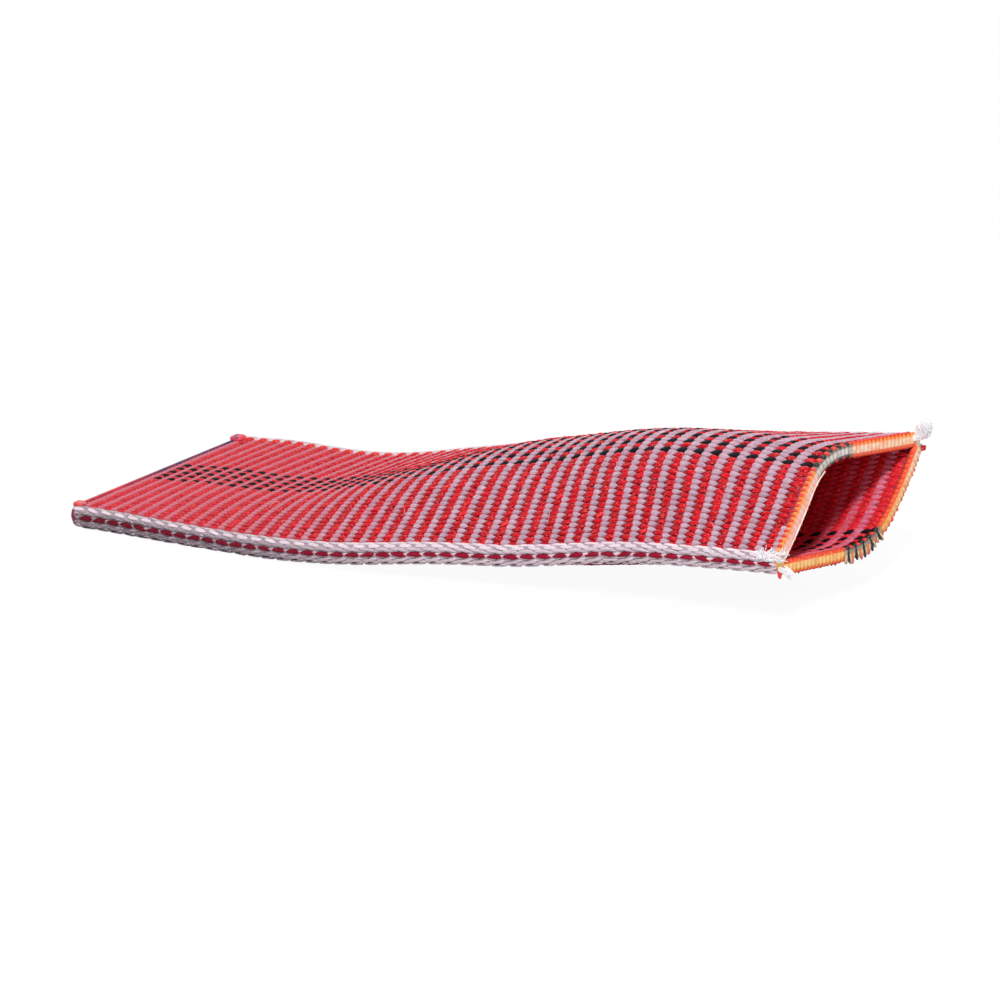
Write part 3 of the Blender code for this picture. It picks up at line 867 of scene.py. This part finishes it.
CORE_STOPS = {
    "upper": (
        (0.0, (1.0, 0.62, 0.62)),
        (0.36, (1.0, 0.64, 0.58)),
        (0.40, (0.80, 0.72, 0.66)),
        (0.59, (0.84, 0.76, 0.70)),
        (0.62, (1.0, 0.80, 0.66)),
        (1.0, (1.0, 0.72, 0.46)),
    ),
    "lower": (
        (0.0, (1.0, 0.66, 0.26)),
        (0.37, (1.0, 0.62, 0.20)),
        (0.40, (0.42, 0.30, 0.20)),
        (0.60, (0.42, 0.31, 0.22)),
        (0.63, (1.0, 0.54, 0.12)),
        (0.80, (1.0, 0.64, 0.30)),
        (1.0, (1.0, 0.78, 0.60)),
    ),
}
OUTER_STOPS = (
    (0.0, (1.0, 0.36, 0.05)),
    (0.37, (0.98, 0.30, 0.05)),
    (0.40, (0.24, 0.20, 0.17)),
    (0.60, (0.24, 0.20, 0.17)),
    (0.63, (0.96, 0.24, 0.03)),
    (1.0, (1.0, 0.33, 0.04)),
)
INNER_STOPS = (
    (0.0, (0.95, 0.09, 0.03)),
    (0.37, (0.95, 0.09, 0.03)),
    (0.40, (0.20, 0.15, 0.12)),
    (0.60, (0.12, 0.09, 0.08)),
    (0.63, (0.95, 0.11, 0.03)),
    (1.0, (1.0, 0.12, 0.03)),
)


def ramp(tree, value, stops):
    """A colour ramp of places and colours."""
    node = tree.nodes.new("ShaderNodeValToRGB")
    elements = node.color_ramp.elements
    while len(elements) < len(stops):
        elements.new(0.5)
    for element, (place, colour) in zip(elements, stops):
        element.position = place
        element.color = (*colour, 1.0)
    tree.links.new(value, node.inputs[0])
    return node.outputs[0]


def melt_material(name, core_stops):
    """Melted yarn: waxy, clouded, coloured through the wall and along the lip, with a wet shine."""
    material, tree, shader = new_material(name, 0.35)
    across, through, rib = split(tree, yarn_place(tree))
    place = object_place(tree)
    clouds = noise(tree, place, MELT_CLOUDS, 3.0)
    specks = noise(tree, stretched(tree, place, (1.0, 1.3, 1.3)), MELT_SPECKS, 2.0)
    core = ramp(tree, across, core_stops)
    outer = ramp(tree, across, OUTER_STOPS)
    inner = ramp(tree, across, INNER_STOPS)
    core = mixed(tree, spread(tree, rib, 0.2, -0.9, 0.0, 0.45), core, outer)
    outer = mixed(tree, spread(tree, rib, 0.1, -0.8, 0.0, 0.6), outer, inner)
    shade = mixed(tree, spread(tree, through, 0.40, 0.70), core, outer)
    shade = mixed(tree, spread(tree, through, -0.35, -0.55), shade, inner)
    shade = mixed(tree, spread(tree, clouds, 0.50, 0.72, 0.0, 0.7), shade, outer)
    shade = mixed(tree, spread(tree, specks, 0.60, 0.72, 0.0, 0.7), shade, inner)
    tree.links.new(shade, shader.inputs["Base Color"])
    bumped(tree, shader, clouds, 0.5, MELT_BUMP)
    return material


def squared(values, squareness):
    """Coordinates of a round section, from -1 to 1, pushed out towards a square one."""
    return np.sign(values) * np.abs(values) ** squareness


def make_lip(ply, material):
    """One ply's bead, ribbed by the warp ends that melted into it."""
    bm = rod(LIP_SIDES, LIP_STEPS)
    share, ahead, up = flat_places(bm)
    width = share * HINGE_WIDTH
    wave = np.cos(2.0 * math.pi * (width - WHITE_ENDS[0]) / END_PITCH)
    uneven = 1.0 + 0.5 * np.sin(41.0 * share) * np.sin(17.0 * share + 1.0)
    ribs = np.interp(share, LIP_PLACES, LIP_RIBS[ply]) * RIB_HEIGHT * wave * uneven
    ahead, up = squared(ahead, LIP_SQUARENESS), squared(up, LIP_SQUARENESS)
    outer = OUTER_FACE + np.interp(share, LIP_PLACES, LIP_OUTER_BULGES[ply]) + ribs
    inner = INNER_FACE - np.interp(share, LIP_PLACES, LIP_INNER_BULGES[ply])
    length = LENGTH - CUT_BAND / 2 + ahead * (CUT_BAND / 2 + ribs)
    height = (outer + inner) / 2 + up * (outer - inner) / 2
    form_to(bm, on_ply(ply, length, width, height))
    lip = piece_from(f"{ply}_mouth_bead", bm, material)
    note_yarn(lip, share, up, wave)
    return lip


def lump(sides, rings, squareness=1.0):
    """A closed ball of unit radius, squared off along Z."""
    bm = bmesh.new()
    bmesh.ops.create_uvsphere(bm, u_segments=sides, v_segments=rings, radius=1.0)
    ahead, aside, up = flat_places(bm)
    move_to(bm, np.stack((ahead, aside, squared(up, squareness)), axis=-1))
    return bm


upper_melt = melt_material("melted_upper_lip", CORE_STOPS["upper"])
lower_melt = melt_material("melted_lower_lip", CORE_STOPS["lower"])
for ply, material in (("upper", upper_melt), ("lower", lower_melt)):
    make_lip(ply, material)
    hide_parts(f"{ply}_mouth_cut")
for edge, share in (("near", 0.0), ("far", 1.0)):
    bm = lump(16, 12, 0.7)
    ahead, out, up = flat_places(bm)
    drops = 1.0 + 0.10 * np.sin(5.0 * out + 3.0 * up) * np.cos(4.0 * ahead)
    length = LENGTH - CUT_BAND / 2 + ahead * (CUT_BAND / 2 + 0.0001)
    out_from_hinge = CORD_INSET + out * MOUTH_CORNER_DEPTH * drops
    form_to(bm, by_fold(edge, length, out_from_hinge, up * MOUTH_CORNER_HEIGHT * drops))
    corner = piece_from(f"{edge}_mouth_corner_melt", bm, lower_melt)
    note_yarn(corner, share + 0.0 * up, 0.3 + 0.3 * out, np.cos(9.0 * up))


# The bright line along the inner rim of the upper lip, where the melted yarn ran together into
# a clear thread. It is drawn white, as a painted highlight along that glassy rim, in patches
# with peach.
BEAD_SHARE = 0.43
BEAD_RADIUS = 0.00016
BEAD_HEIGHT = -0.0003
BEAD_SIDES = 8
BEAD_STEPS = 60
BEAD_AHEAD = 0.00004
BEAD_PAINTED_HIGHLIGHT = (0.98, 0.92, 0.86, 1)
CLEAR_PEACH = (0.92, 0.66, 0.50, 1)
CLEAR_FINENESS = (500.0, 500.0, 500.0)
clear_melt, _ = patched_material("clear_melt", 0.15, CLEAR_FINENESS, BEAD_PAINTED_HIGHLIGHT, CLEAR_PEACH, 0.4, 0.7)
bm = rod(BEAD_SIDES, BEAD_STEPS)
share, ahead, up = flat_places(bm)
length = LENGTH + BEAD_AHEAD + ahead * BEAD_RADIUS
height = INNER_FACE + BEAD_HEIGHT + up * BEAD_RADIUS * (1.0 + 0.3 * np.sin(40.0 * share))
form_to(bm, on_ply("upper", length, share * BEAD_SHARE * HINGE_WIDTH, height))
piece_from("upper_mouth_clear_bead", bm, clear_melt)


# The ends of the red and black warp at the cut. They melt less than the white, and show as a
# dot at each rim of the wall. On the lower lip they stick out as stubs, longest in the stripe.
DOT_SIZES = (0.00060, 0.00046, 0.00036)
DOT_OUTER_RISE = 0.00002
DOT_INNER_SINK = 0.00012
DOT_STRAY = 0.00008
BOLD = 1.25
STUB_RADIUS = 0.00026
STRIPE_STUB_RADIUS = 0.00034
STRIPE_STUB_START = INNER_FACE + 0.0003
STRIPE_STUB_SHORTEST = 0.0006
STRIPE_STUB_SPLAY = 0.0003
ORANGE_STUB_REACHES = (0.0003, 0.0009)
ORANGE_STUB_SPLAY = 0.0001


def make_dots(name, ply, widths, sizes, material):
    """A dot at each rim of the wall for each warp end."""
    bm = lump(8, 6)
    bmesh.ops.scale(bm, vec=sizes, verts=bm.verts)
    corners = len(bm.verts)
    outer = OUTER_FACE + DOT_OUTER_RISE
    inner = INNER_FACE + DOT_INNER_SINK
    length = LENGTH - CUT_BAND / 2
    places = [Vector((length, width, height)) for width in widths for height in (outer, inner)]
    repeat(bm, everything(bm), places)
    length, width, height = flat_places(bm)
    which = np.arange(len(length)) // corners
    length = length + chance.normal(0.0, DOT_STRAY, len(places))[which]
    share = width / HINGE_WIDTH
    height = height - np.interp(share, LIP_PLACES, LIP_INNER_BULGES[ply]) * (height < outer / 2)
    height = height + np.interp(share, LIP_PLACES, LIP_OUTER_BULGES[ply]) * (height > outer / 2)
    form_to(bm, on_ply(ply, length, width, height))
    piece = piece_from(name, bm, material)
    luck = chance.random(len(places))[which]
    note_yarn(piece, 0.0 * luck, 0.0 * luck, luck)


def make_stubs(name, ply, widths, reaches, material, splay, radius, start, ahead):
    """A stub from a height in the wall's end out over the outer rim, for each warp end."""
    bm = lump(6, 8, 0.45)
    bmesh.ops.scale(bm, vec=(radius, radius, 0.5), verts=bm.verts)
    bmesh.ops.translate(bm, vec=(0.0, 0.0, 0.5), verts=bm.verts)
    corners = len(bm.verts)
    repeat(bm, everything(bm), [Vector((LENGTH - ahead, width, 0.0)) for width in widths])
    length, width, share = flat_places(bm)
    which = np.arange(len(length)) // corners
    bend = chance.normal(0.0, splay, (2, len(widths)))
    length = length + bend[0][which] * share ** 2
    width = width + bend[1][which] * share ** 2
    height = start + share * (np.array(reaches)[which] + OUTER_FACE - start)
    form_to(bm, on_ply(ply, length, width, height))
    piece = piece_from(name, bm, material)
    note_yarn(piece, 2.0 * share - 1.0, 0.0 * share, chance.random(len(widths))[which])


def stub_material(name, root, tip):
    """A cut yarn's stub, melted at its root and charred at its tip."""
    material, tree, shader = new_material(name, 0.45)
    outwards = split(tree, yarn_place(tree))[0]
    clouds = noise(tree, object_place(tree), 1500.0)
    shade = mixed(tree, spread(tree, outwards, 0.0, 0.8), root, tip)
    shade = mixed(tree, spread(tree, clouds, 0.5, 0.8, 0.0, 0.4), shade, tip)
    tree.links.new(shade, shader.inputs["Base Color"])
    bumped(tree, shader, clouds, 0.4, 0.0001)
    return material


red_dot = stub_material("red_warp_dot", (0.82, 0.05, 0.025, 1), (0.55, 0.02, 0.03, 1))
black_dot = stub_material("black_warp_dot", (0.014, 0.011, 0.014, 1), (0.05, 0.045, 0.05, 1))
orange_stub = stub_material("orange_warp_stub", (0.98, 0.30, 0.06, 1), (0.38, 0.03, 0.03, 1))
red_stub = stub_material("red_warp_stub", (0.85, 0.20, 0.08, 1), (0.80, 0.10, 0.05, 1))
tan_stub = stub_material("tan_warp_stub", (0.80, 0.58, 0.36, 1), (0.62, 0.40, 0.24, 1))
stripe_red_ends = ends_at(k for k in range(MARKER_ENDS) if k not in BLACK_PLACES)
ground_red_ends = [width for width in red_ends if width not in stripe_red_ends]
bold = [BOLD * size for size in DOT_SIZES]
for ply in ("upper", "lower"):
    make_dots(f"{ply}_mouth_red_dots", ply, ground_red_ends, DOT_SIZES, red_dot)
    make_dots(f"{ply}_mouth_stripe_red_dots", ply, stripe_red_ends, bold, red_dot)
    clumps = [BOLD * size for size in bold] if ply == "lower" else bold
    make_dots(f"{ply}_mouth_black_dots", ply, black_ends, clumps, black_dot)
reaches = chance.uniform(*ORANGE_STUB_REACHES, len(ground_red_ends))
make_stubs(
    "lower_mouth_orange_stubs", "lower", ground_red_ends, reaches, orange_stub, ORANGE_STUB_SPLAY,
    STUB_RADIUS, OUTER_FACE - 3 * STUB_RADIUS, CUT_BAND / 2,
)
stripe_white_ends = [STRIPE_START + k * END_PITCH for k in range(MARKER_ENDS + 1)]
for word, ends, longest, start, material in (
    ("black", black_ends, 0.0013, STRIPE_STUB_START, black_dot),
    ("stripe_red", stripe_red_ends, 0.0014, STRIPE_STUB_START + 0.0006, red_stub),
    ("tan", stripe_white_ends, 0.0013, STRIPE_STUB_START + 0.0009, tan_stub),
):
    reaches = chance.uniform(STRIPE_STUB_SHORTEST, longest, len(ends))
    make_stubs(
        f"lower_mouth_{word}_stubs", "lower", ends, reaches, material, STRIPE_STUB_SPLAY,
        STRIPE_STUB_RADIUS, start, STRIPE_STUB_RADIUS / 2,
    )


# The tail's cut. It was pressed flat while hot, so both plies end in one thin line: red towards
# the near corner, scorched purple towards the far one, with a lump of melt at each corner.
SCORCHED_PURPLE = (0.045, 0.012, 0.085, 1)
SCORCHED_RED = (0.26, 0.02, 0.07, 1)
TAIL_RED = (0.72, 0.03, 0.05, 1)
TAIL_DARK_RED = (0.35, 0.01, 0.04, 1)
SCORCH_START = -0.012
SCORCH_END = 0.004
TAIL_SIDES = 12
TAIL_STEPS = 120
LUMP_START = 0.0012
LUMP_LENGTH = 0.0013
LUMP_WIDTH = 0.0011
LUMP_FINENESS = (550.0, 550.0, 550.0)
LUMP_BUMP = (0.6, 0.0002)
FOLD_END_DEPTH = 0.00128
FOLD_END_HEIGHT = 0.0022


def tail_material():
    """Red melt that turns to scorched purple towards the far side."""
    material, tree, shader = new_material("scorched_tail", 0.45)
    place = object_place(tree)
    across = split(tree, place)[1]
    clouds = noise(tree, place, 300.0, 3.0)
    patches = spread(tree, clouds, 0.45, 0.7)
    scorched = mixed(tree, patches, SCORCHED_PURPLE, SCORCHED_RED)
    red = mixed(tree, patches, TAIL_RED, TAIL_DARK_RED)
    shade = mixed(tree, spread(tree, across, SCORCH_START, SCORCH_END), red, scorched)
    tree.links.new(shade, shader.inputs["Base Color"])
    bumped(tree, shader, clouds, 0.5, 0.0002)
    return material


def corner_material(name, colour, streak):
    """A lump of melt with a streak of another colour."""
    return patched_material(name, 0.4, LUMP_FINENESS, colour, streak, 0.5, 0.62, 3.0, LUMP_BUMP)[0]


scorched_tail = tail_material()
for ply in ("upper", "lower"):
    bm = rod(TAIL_SIDES, TAIL_STEPS)
    share, ahead, up = flat_places(bm)
    ahead, up = squared(ahead, LIP_SQUARENESS), squared(up, LIP_SQUARENESS)
    length = CUT_BAND / 2 + ahead * CUT_BAND / 2
    height = (INNER_FACE + OUTER_FACE) / 2 + up * PLY_THICKNESS / 2 * np.where(ahead < 0.0, 0.85, 1.0)
    form_to(bm, on_ply(ply, length, share * HINGE_WIDTH, height))
    tail = piece_from(f"{ply}_tail_melt", bm, scorched_tail)
    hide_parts(f"{ply}_tail_cut")
near_lump = corner_material("red_tail_lump", (0.80, 0.035, 0.04, 1), (0.60, 0.25, 0.28, 1))
far_lump = corner_material("purple_tail_lump", (0.78, 0.05, 0.09, 1), (0.10, 0.02, 0.12, 1))
# The closed ends of the selvedge folds are red melt drawn dark: painted shade where the cords end.
fold_end_painted_shade = corner_material("tail_fold_end", (0.20, 0.01, 0.035, 1), (0.34, 0.22, 0.26, 1))
for edge, width, size, rise, material in (
    ("near", 0.0009, 1.25, 0.0007, near_lump),
    ("far", HINGE_WIDTH - 0.0014, 1.6, 0.0009, far_lump),
):
    bm = lump(14, 10)
    ahead, aside, up = flat_places(bm)
    drops = 1.0 + 0.22 * np.sin(5.0 * ahead + 2.0) * np.cos(6.0 * aside)
    length = LUMP_START + ahead * LUMP_LENGTH * size
    height = OUTER_FACE + up * rise * drops
    form_to(bm, on_ply("upper", length, width + aside * LUMP_WIDTH * size, height))
    piece_from(f"{edge}_tail_lump", bm, material)
    bm = lump(14, 12, 0.8)
    ahead, out, up = flat_places(bm)
    drops = 1.0 + 0.10 * np.sin(6.0 * up + 1.0)
    length = CUT_BAND * 0.75 + ahead * CUT_BAND * 0.75
    form_to(bm, by_fold(edge, length, CORD_INSET + out * FOLD_END_DEPTH * drops, up * FOLD_END_HEIGHT))
    piece_from(f"{edge}_tail_fold_end", bm, fold_end_painted_shade)


# The frayed ends at the mouth's corners, where the knife missed some filaments of the cords.
# Each is a tuft of loose white filaments, splayed by handling. Two short red ends hang with them.
FILAMENT_RADIUS = 0.00016
FILAMENT_SIDES = 6
FILAMENT_STEPS = 5
FILAMENT_TAPER = 0.5
FILAMENT_ACROSS = (0.1, 0.98, 0.2)
LOOSE_GREY = (0.86, 0.84, 0.89, 1)
LOOSE_WHITE = (1.0, 1.0, 1.0, 1.0)
LOOSE_PAINTED_GLOW = 0.05
LOOSE_FINENESS = (700.0, 700.0, 700.0)
ALONG_SLEEVE = np.array((1.0, 0.0, 0.0))
TUFT_BACK = 0.0003
RED_STUB_RADIUS = 0.00042
RED_STUB_REACH = 0.0013
RED_STUB_BACK = 0.0005
RED_STUB_FROM_AXIS = 0.0010
RED_STUB_YARNS = 3
TUFTS = (
    ("far_upper_tuft", "far", "upper", 330, 0.0012, 0.0062, (-0.25, 0.10, 1.00), 0.25),
    ("near_upper_tuft", "near", "upper", 190, 0.0065, 0.0034, (0.75, -0.15, 0.60), 0.42),
    ("near_lower_tuft", "near", "lower", 60, 0.0004, 0.0034, (0.55, -0.20, -0.85), 0.14),
)


def filament_path(root, start, way, curl, reach):
    """A filament's path from its root, leaving in a direction, turning to its own way and curling."""
    places = [np.array(root)]
    for step in range(FILAMENT_STEPS):
        turn = step / FILAMENT_STEPS
        move = start * (1.0 - turn) + (way + curl * turn ** 2) * turn
        places.append(places[-1] + move / np.linalg.norm(move) * reach / FILAMENT_STEPS)
    return places


def cord_root(edge, ply, length, angle, radius):
    """One place in a selvedge cord, where a filament starts."""
    return on_cord(edge, ply, np.full(1, length), np.full(1, angle), np.full(1, radius))[0]


def filament_piece(name, paths, radius, material):
    """A piece of tapering filaments, each a closed rod along its own path."""
    bm = rod(FILAMENT_SIDES, FILAMENT_STEPS)
    corners = len(bm.verts)
    repeat(bm, everything(bm), [Vector((2.0 * k, 0.0, 0.0)) for k in range(len(paths))])
    share, side, up = flat_places(bm)
    which = np.arange(len(share)) // corners
    step = np.rint((share - 2.0 * which) * FILAMENT_STEPS).astype(int)
    paths = np.array(paths)
    ahead = np.gradient(paths, axis=1)
    beside = np.cross(ahead, FILAMENT_ACROSS)
    beside /= np.linalg.norm(beside, axis=2, keepdims=True)
    above = np.cross(beside, ahead)
    above /= np.linalg.norm(above, axis=2, keepdims=True)
    round_path = side[:, None] * beside[which, step] + up[:, None] * above[which, step]
    taper = radius * (1.0 - FILAMENT_TAPER * step / FILAMENT_STEPS)
    form_to(bm, paths[which, step] + taper[:, None] * round_path)
    return piece_from(name, bm, material)


loose_filaments, shader = patched_material(
    "loose_filaments", 0.6, LOOSE_FINENESS, LOOSE_GREY, LOOSE_WHITE, 0.0, 1.0
)
# The loose filaments glow faintly: painted light, so that the thin white hairs look white.
shader.inputs["Emission Color"].default_value = LOOSE_WHITE
shader.inputs["Emission Strength"].default_value = LOOSE_PAINTED_GLOW
for name, edge, ply, count, back, longest, heading, unruly in TUFTS:
    paths = []
    for _ in range(count):
        angle = chance.uniform(-0.3 * math.pi, 1.0 * math.pi)
        radius = CORD_RADIUS * chance.uniform(0.5, 0.95)
        root = cord_root(edge, ply, LENGTH - TUFT_BACK - back * chance.random(), angle, radius)
        way = np.array(heading) + chance.normal(0.0, unruly, 3)
        curl = chance.normal(0.0, 1.4 * unruly, 3)
        reach = longest * chance.uniform(0.45, 1.0)
        paths.append(filament_path(root, ALONG_SLEEVE, way, curl, reach))
    tuft = filament_piece(name, paths, FILAMENT_RADIUS, loose_filaments)
    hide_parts(f"{edge}_{ply}_frayed_end")
for edge, heading in (("far", (0.7, 0.25, 0.1)), ("near", (0.10, -0.35, -1.0))):
    heading = np.array(heading)
    paths = []
    for k in range(RED_STUB_YARNS):
        root = cord_root(edge, "lower", LENGTH - RED_STUB_BACK, 0.2 + 0.35 * k, RED_STUB_FROM_AXIS)
        way = heading + chance.normal(0.0, 0.08, 3)
        paths.append(filament_path(root, heading, way, chance.normal(0.0, 0.1, 3), RED_STUB_REACH))
    filament_piece(f"{edge}_red_stub", paths, RED_STUB_RADIUS, red_dot)


# A few stray filaments of the white yarn, which handling has pulled up out of the upper face.
# They are polyester like the rest, as thin as a hair, and lean over the cloth.
STRAY_PLACES = (
    (0.052, 0.012), (0.095, 0.009), (0.118, 0.021), (0.136, 0.006), (0.163, 0.030), (0.181, 0.004)
)
STRAY_RADIUS = 0.000035
STRAY_REACH = 0.0034
STRAY_ROOT_DEPTH = 0.0001
STRAY_START = np.array((0.3, 0.0, 0.6))
paths = []
for length, width in STRAY_PLACES:
    depth = np.full(1, OUTER_FACE - STRAY_ROOT_DEPTH)
    root = on_ply("upper", np.full(1, length), np.full(1, width), depth)[0]
    way = np.array((chance.uniform(-1.0, 1.0), chance.uniform(-0.6, 0.6), 0.25))
    paths.append(filament_path(root, STRAY_START, way, chance.normal(0.0, 0.9, 3), STRAY_REACH))
# The stray filaments share that material and its painted glow.
filament_piece("stray_filaments", paths, STRAY_RADIUS, loose_filaments)


# The studio: a pale floor, soft light from above and from the mouth's side, and a long lens
# from the photograph's viewing angle.
CAMERA_AZIMUTH = math.radians(37.23)
CAMERA_HEIGHT = math.radians(15.71)
CAMERA_ROLL = math.radians(4.38)
LENS_PIXELS = 7000.0
PIXELS_PER_METRE = 4337.8
AIM_RIGHT = 0.098119
AIM_UP = -0.00165
PICTURE_PIXELS = 1000.0
SENSOR_WIDTH = 36.0
FLOOR_SIZE = 20.0
FLOOR_DROP = 0.0002
FLOOR_GREY = (0.66, 0.66, 0.67, 1)
FLOOR_GLOW = 1.05
FLOOR_GLOW_SHARE = 0.90
SKY_COLOUR = (0.95, 0.97, 1.0, 1)
SKY_STRENGTH = 0.45
KEY_PLACE = (0.60, -0.66, 0.98)
KEY_SIZE = 0.16
KEY_POWER = 11.0
FILL_PLACE = (-0.7, 0.6, 1.0)
FILL_SIZE = 0.8
FILL_POWER = 4.5


def place_camera():
    """The camera, aimed by two distances in its own right and up directions."""
    right = Vector((math.cos(CAMERA_AZIMUTH), math.sin(CAMERA_AZIMUTH), 0.0))
    ahead = Vector((
        -math.sin(CAMERA_AZIMUTH) * math.cos(CAMERA_HEIGHT),
        math.cos(CAMERA_AZIMUTH) * math.cos(CAMERA_HEIGHT),
        -math.sin(CAMERA_HEIGHT),
    ))
    up = right.cross(ahead)
    distance = LENS_PIXELS / PIXELS_PER_METRE
    centre = right * AIM_RIGHT + up * AIM_UP - ahead * distance + Vector(packed_shift)
    rolled_right = right * math.cos(CAMERA_ROLL) - up * math.sin(CAMERA_ROLL)
    rolled_up = right * math.sin(CAMERA_ROLL) + up * math.cos(CAMERA_ROLL)
    data = bpy.data.cameras.new("camera")
    data.sensor_width = SENSOR_WIDTH
    data.lens = LENS_PIXELS * SENSOR_WIDTH / PICTURE_PIXELS
    data.clip_start = 0.1
    data.clip_end = 60.0
    camera = bpy.data.objects.new("camera", data)
    axes = Matrix((rolled_right, rolled_up, -ahead)).transposed().to_4x4()
    camera.matrix_world = Matrix.Translation(centre) @ axes
    bpy.context.scene.collection.objects.link(camera)
    bpy.context.scene.camera = camera


def make_floor():
    """A pale floor that the camera sees near white, with the sleeve's soft shadow on it."""
    bm = bmesh.new()
    bmesh.ops.create_grid(bm, x_segments=1, y_segments=1, size=FLOOR_SIZE)
    bmesh.ops.translate(bm, vec=(0.0, 0.0, -FLOOR_DROP), verts=bm.verts)
    mesh = bpy.data.meshes.new("floor")
    bm.to_mesh(mesh)
    bm.free()
    floor = bpy.data.objects.new("floor", mesh)
    bpy.context.scene.collection.objects.link(floor)
    material, tree, shader = new_material("studio_floor", 0.9)
    shader.inputs["Base Color"].default_value = FLOOR_GREY
    glow = tree.nodes.new("ShaderNodeEmission")
    glow.inputs["Strength"].default_value = FLOOR_GLOW
    seen = tree.nodes.new("ShaderNodeLightPath").outputs["Is Camera Ray"]
    mix = tree.nodes.new("ShaderNodeMixShader")
    tree.links.new(spread(tree, seen, 0.0, 1.0, 0.0, FLOOR_GLOW_SHARE), mix.inputs[0])
    tree.links.new(shader.outputs[0], mix.inputs[1])
    tree.links.new(glow.outputs[0], mix.inputs[2])
    tree.links.new(mix.outputs[0], tree.nodes["Material Output"].inputs["Surface"])
    mesh.materials.append(material)


def make_lamp(name, place, size, power):
    """A square soft box, aimed at the sleeve."""
    data = bpy.data.lights.new(name, "AREA")
    data.size = size
    data.energy = power
    lamp = bpy.data.objects.new(name, data)
    lamp.location = place
    lamp.rotation_euler = (-Vector(place)).to_track_quat("-Z", "Y").to_euler()
    bpy.context.scene.collection.objects.link(lamp)


def make_world():
    """White to the camera and in reflections, a softer grey as light."""
    world = bpy.data.worlds.new("studio")
    bpy.context.scene.world = world
    world.use_nodes = True
    tree = world.node_tree
    light = tree.nodes["Background"]
    light.inputs["Color"].default_value = SKY_COLOUR
    light.inputs["Strength"].default_value = SKY_STRENGTH
    white = tree.nodes.new("ShaderNodeBackground")
    white.inputs["Strength"].default_value = 1.0
    path = tree.nodes.new("ShaderNodeLightPath")
    seen = path.outputs["Is Camera Ray"]
    for ray in ("Is Glossy Ray", "Is Transmission Ray"):
        either = tree.nodes.new("ShaderNodeMath")
        either.operation = "MAXIMUM"
        tree.links.new(seen, either.inputs[0])
        tree.links.new(path.outputs[ray], either.inputs[1])
        seen = either.outputs[0]
    mix = tree.nodes.new("ShaderNodeMixShader")
    tree.links.new(seen, mix.inputs[0])
    tree.links.new(light.outputs[0], mix.inputs[1])
    tree.links.new(white.outputs[0], mix.inputs[2])
    tree.links.new(mix.outputs[0], tree.nodes["World Output"].inputs["Surface"])


place_camera()
make_floor()
make_world()
make_lamp("key_from_mouth_side", KEY_PLACE, KEY_SIZE, KEY_POWER)
make_lamp("fill_from_behind", FILL_PLACE, FILL_SIZE, FILL_POWER)
bpy.context.scene.view_settings.view_transform = "Standard"
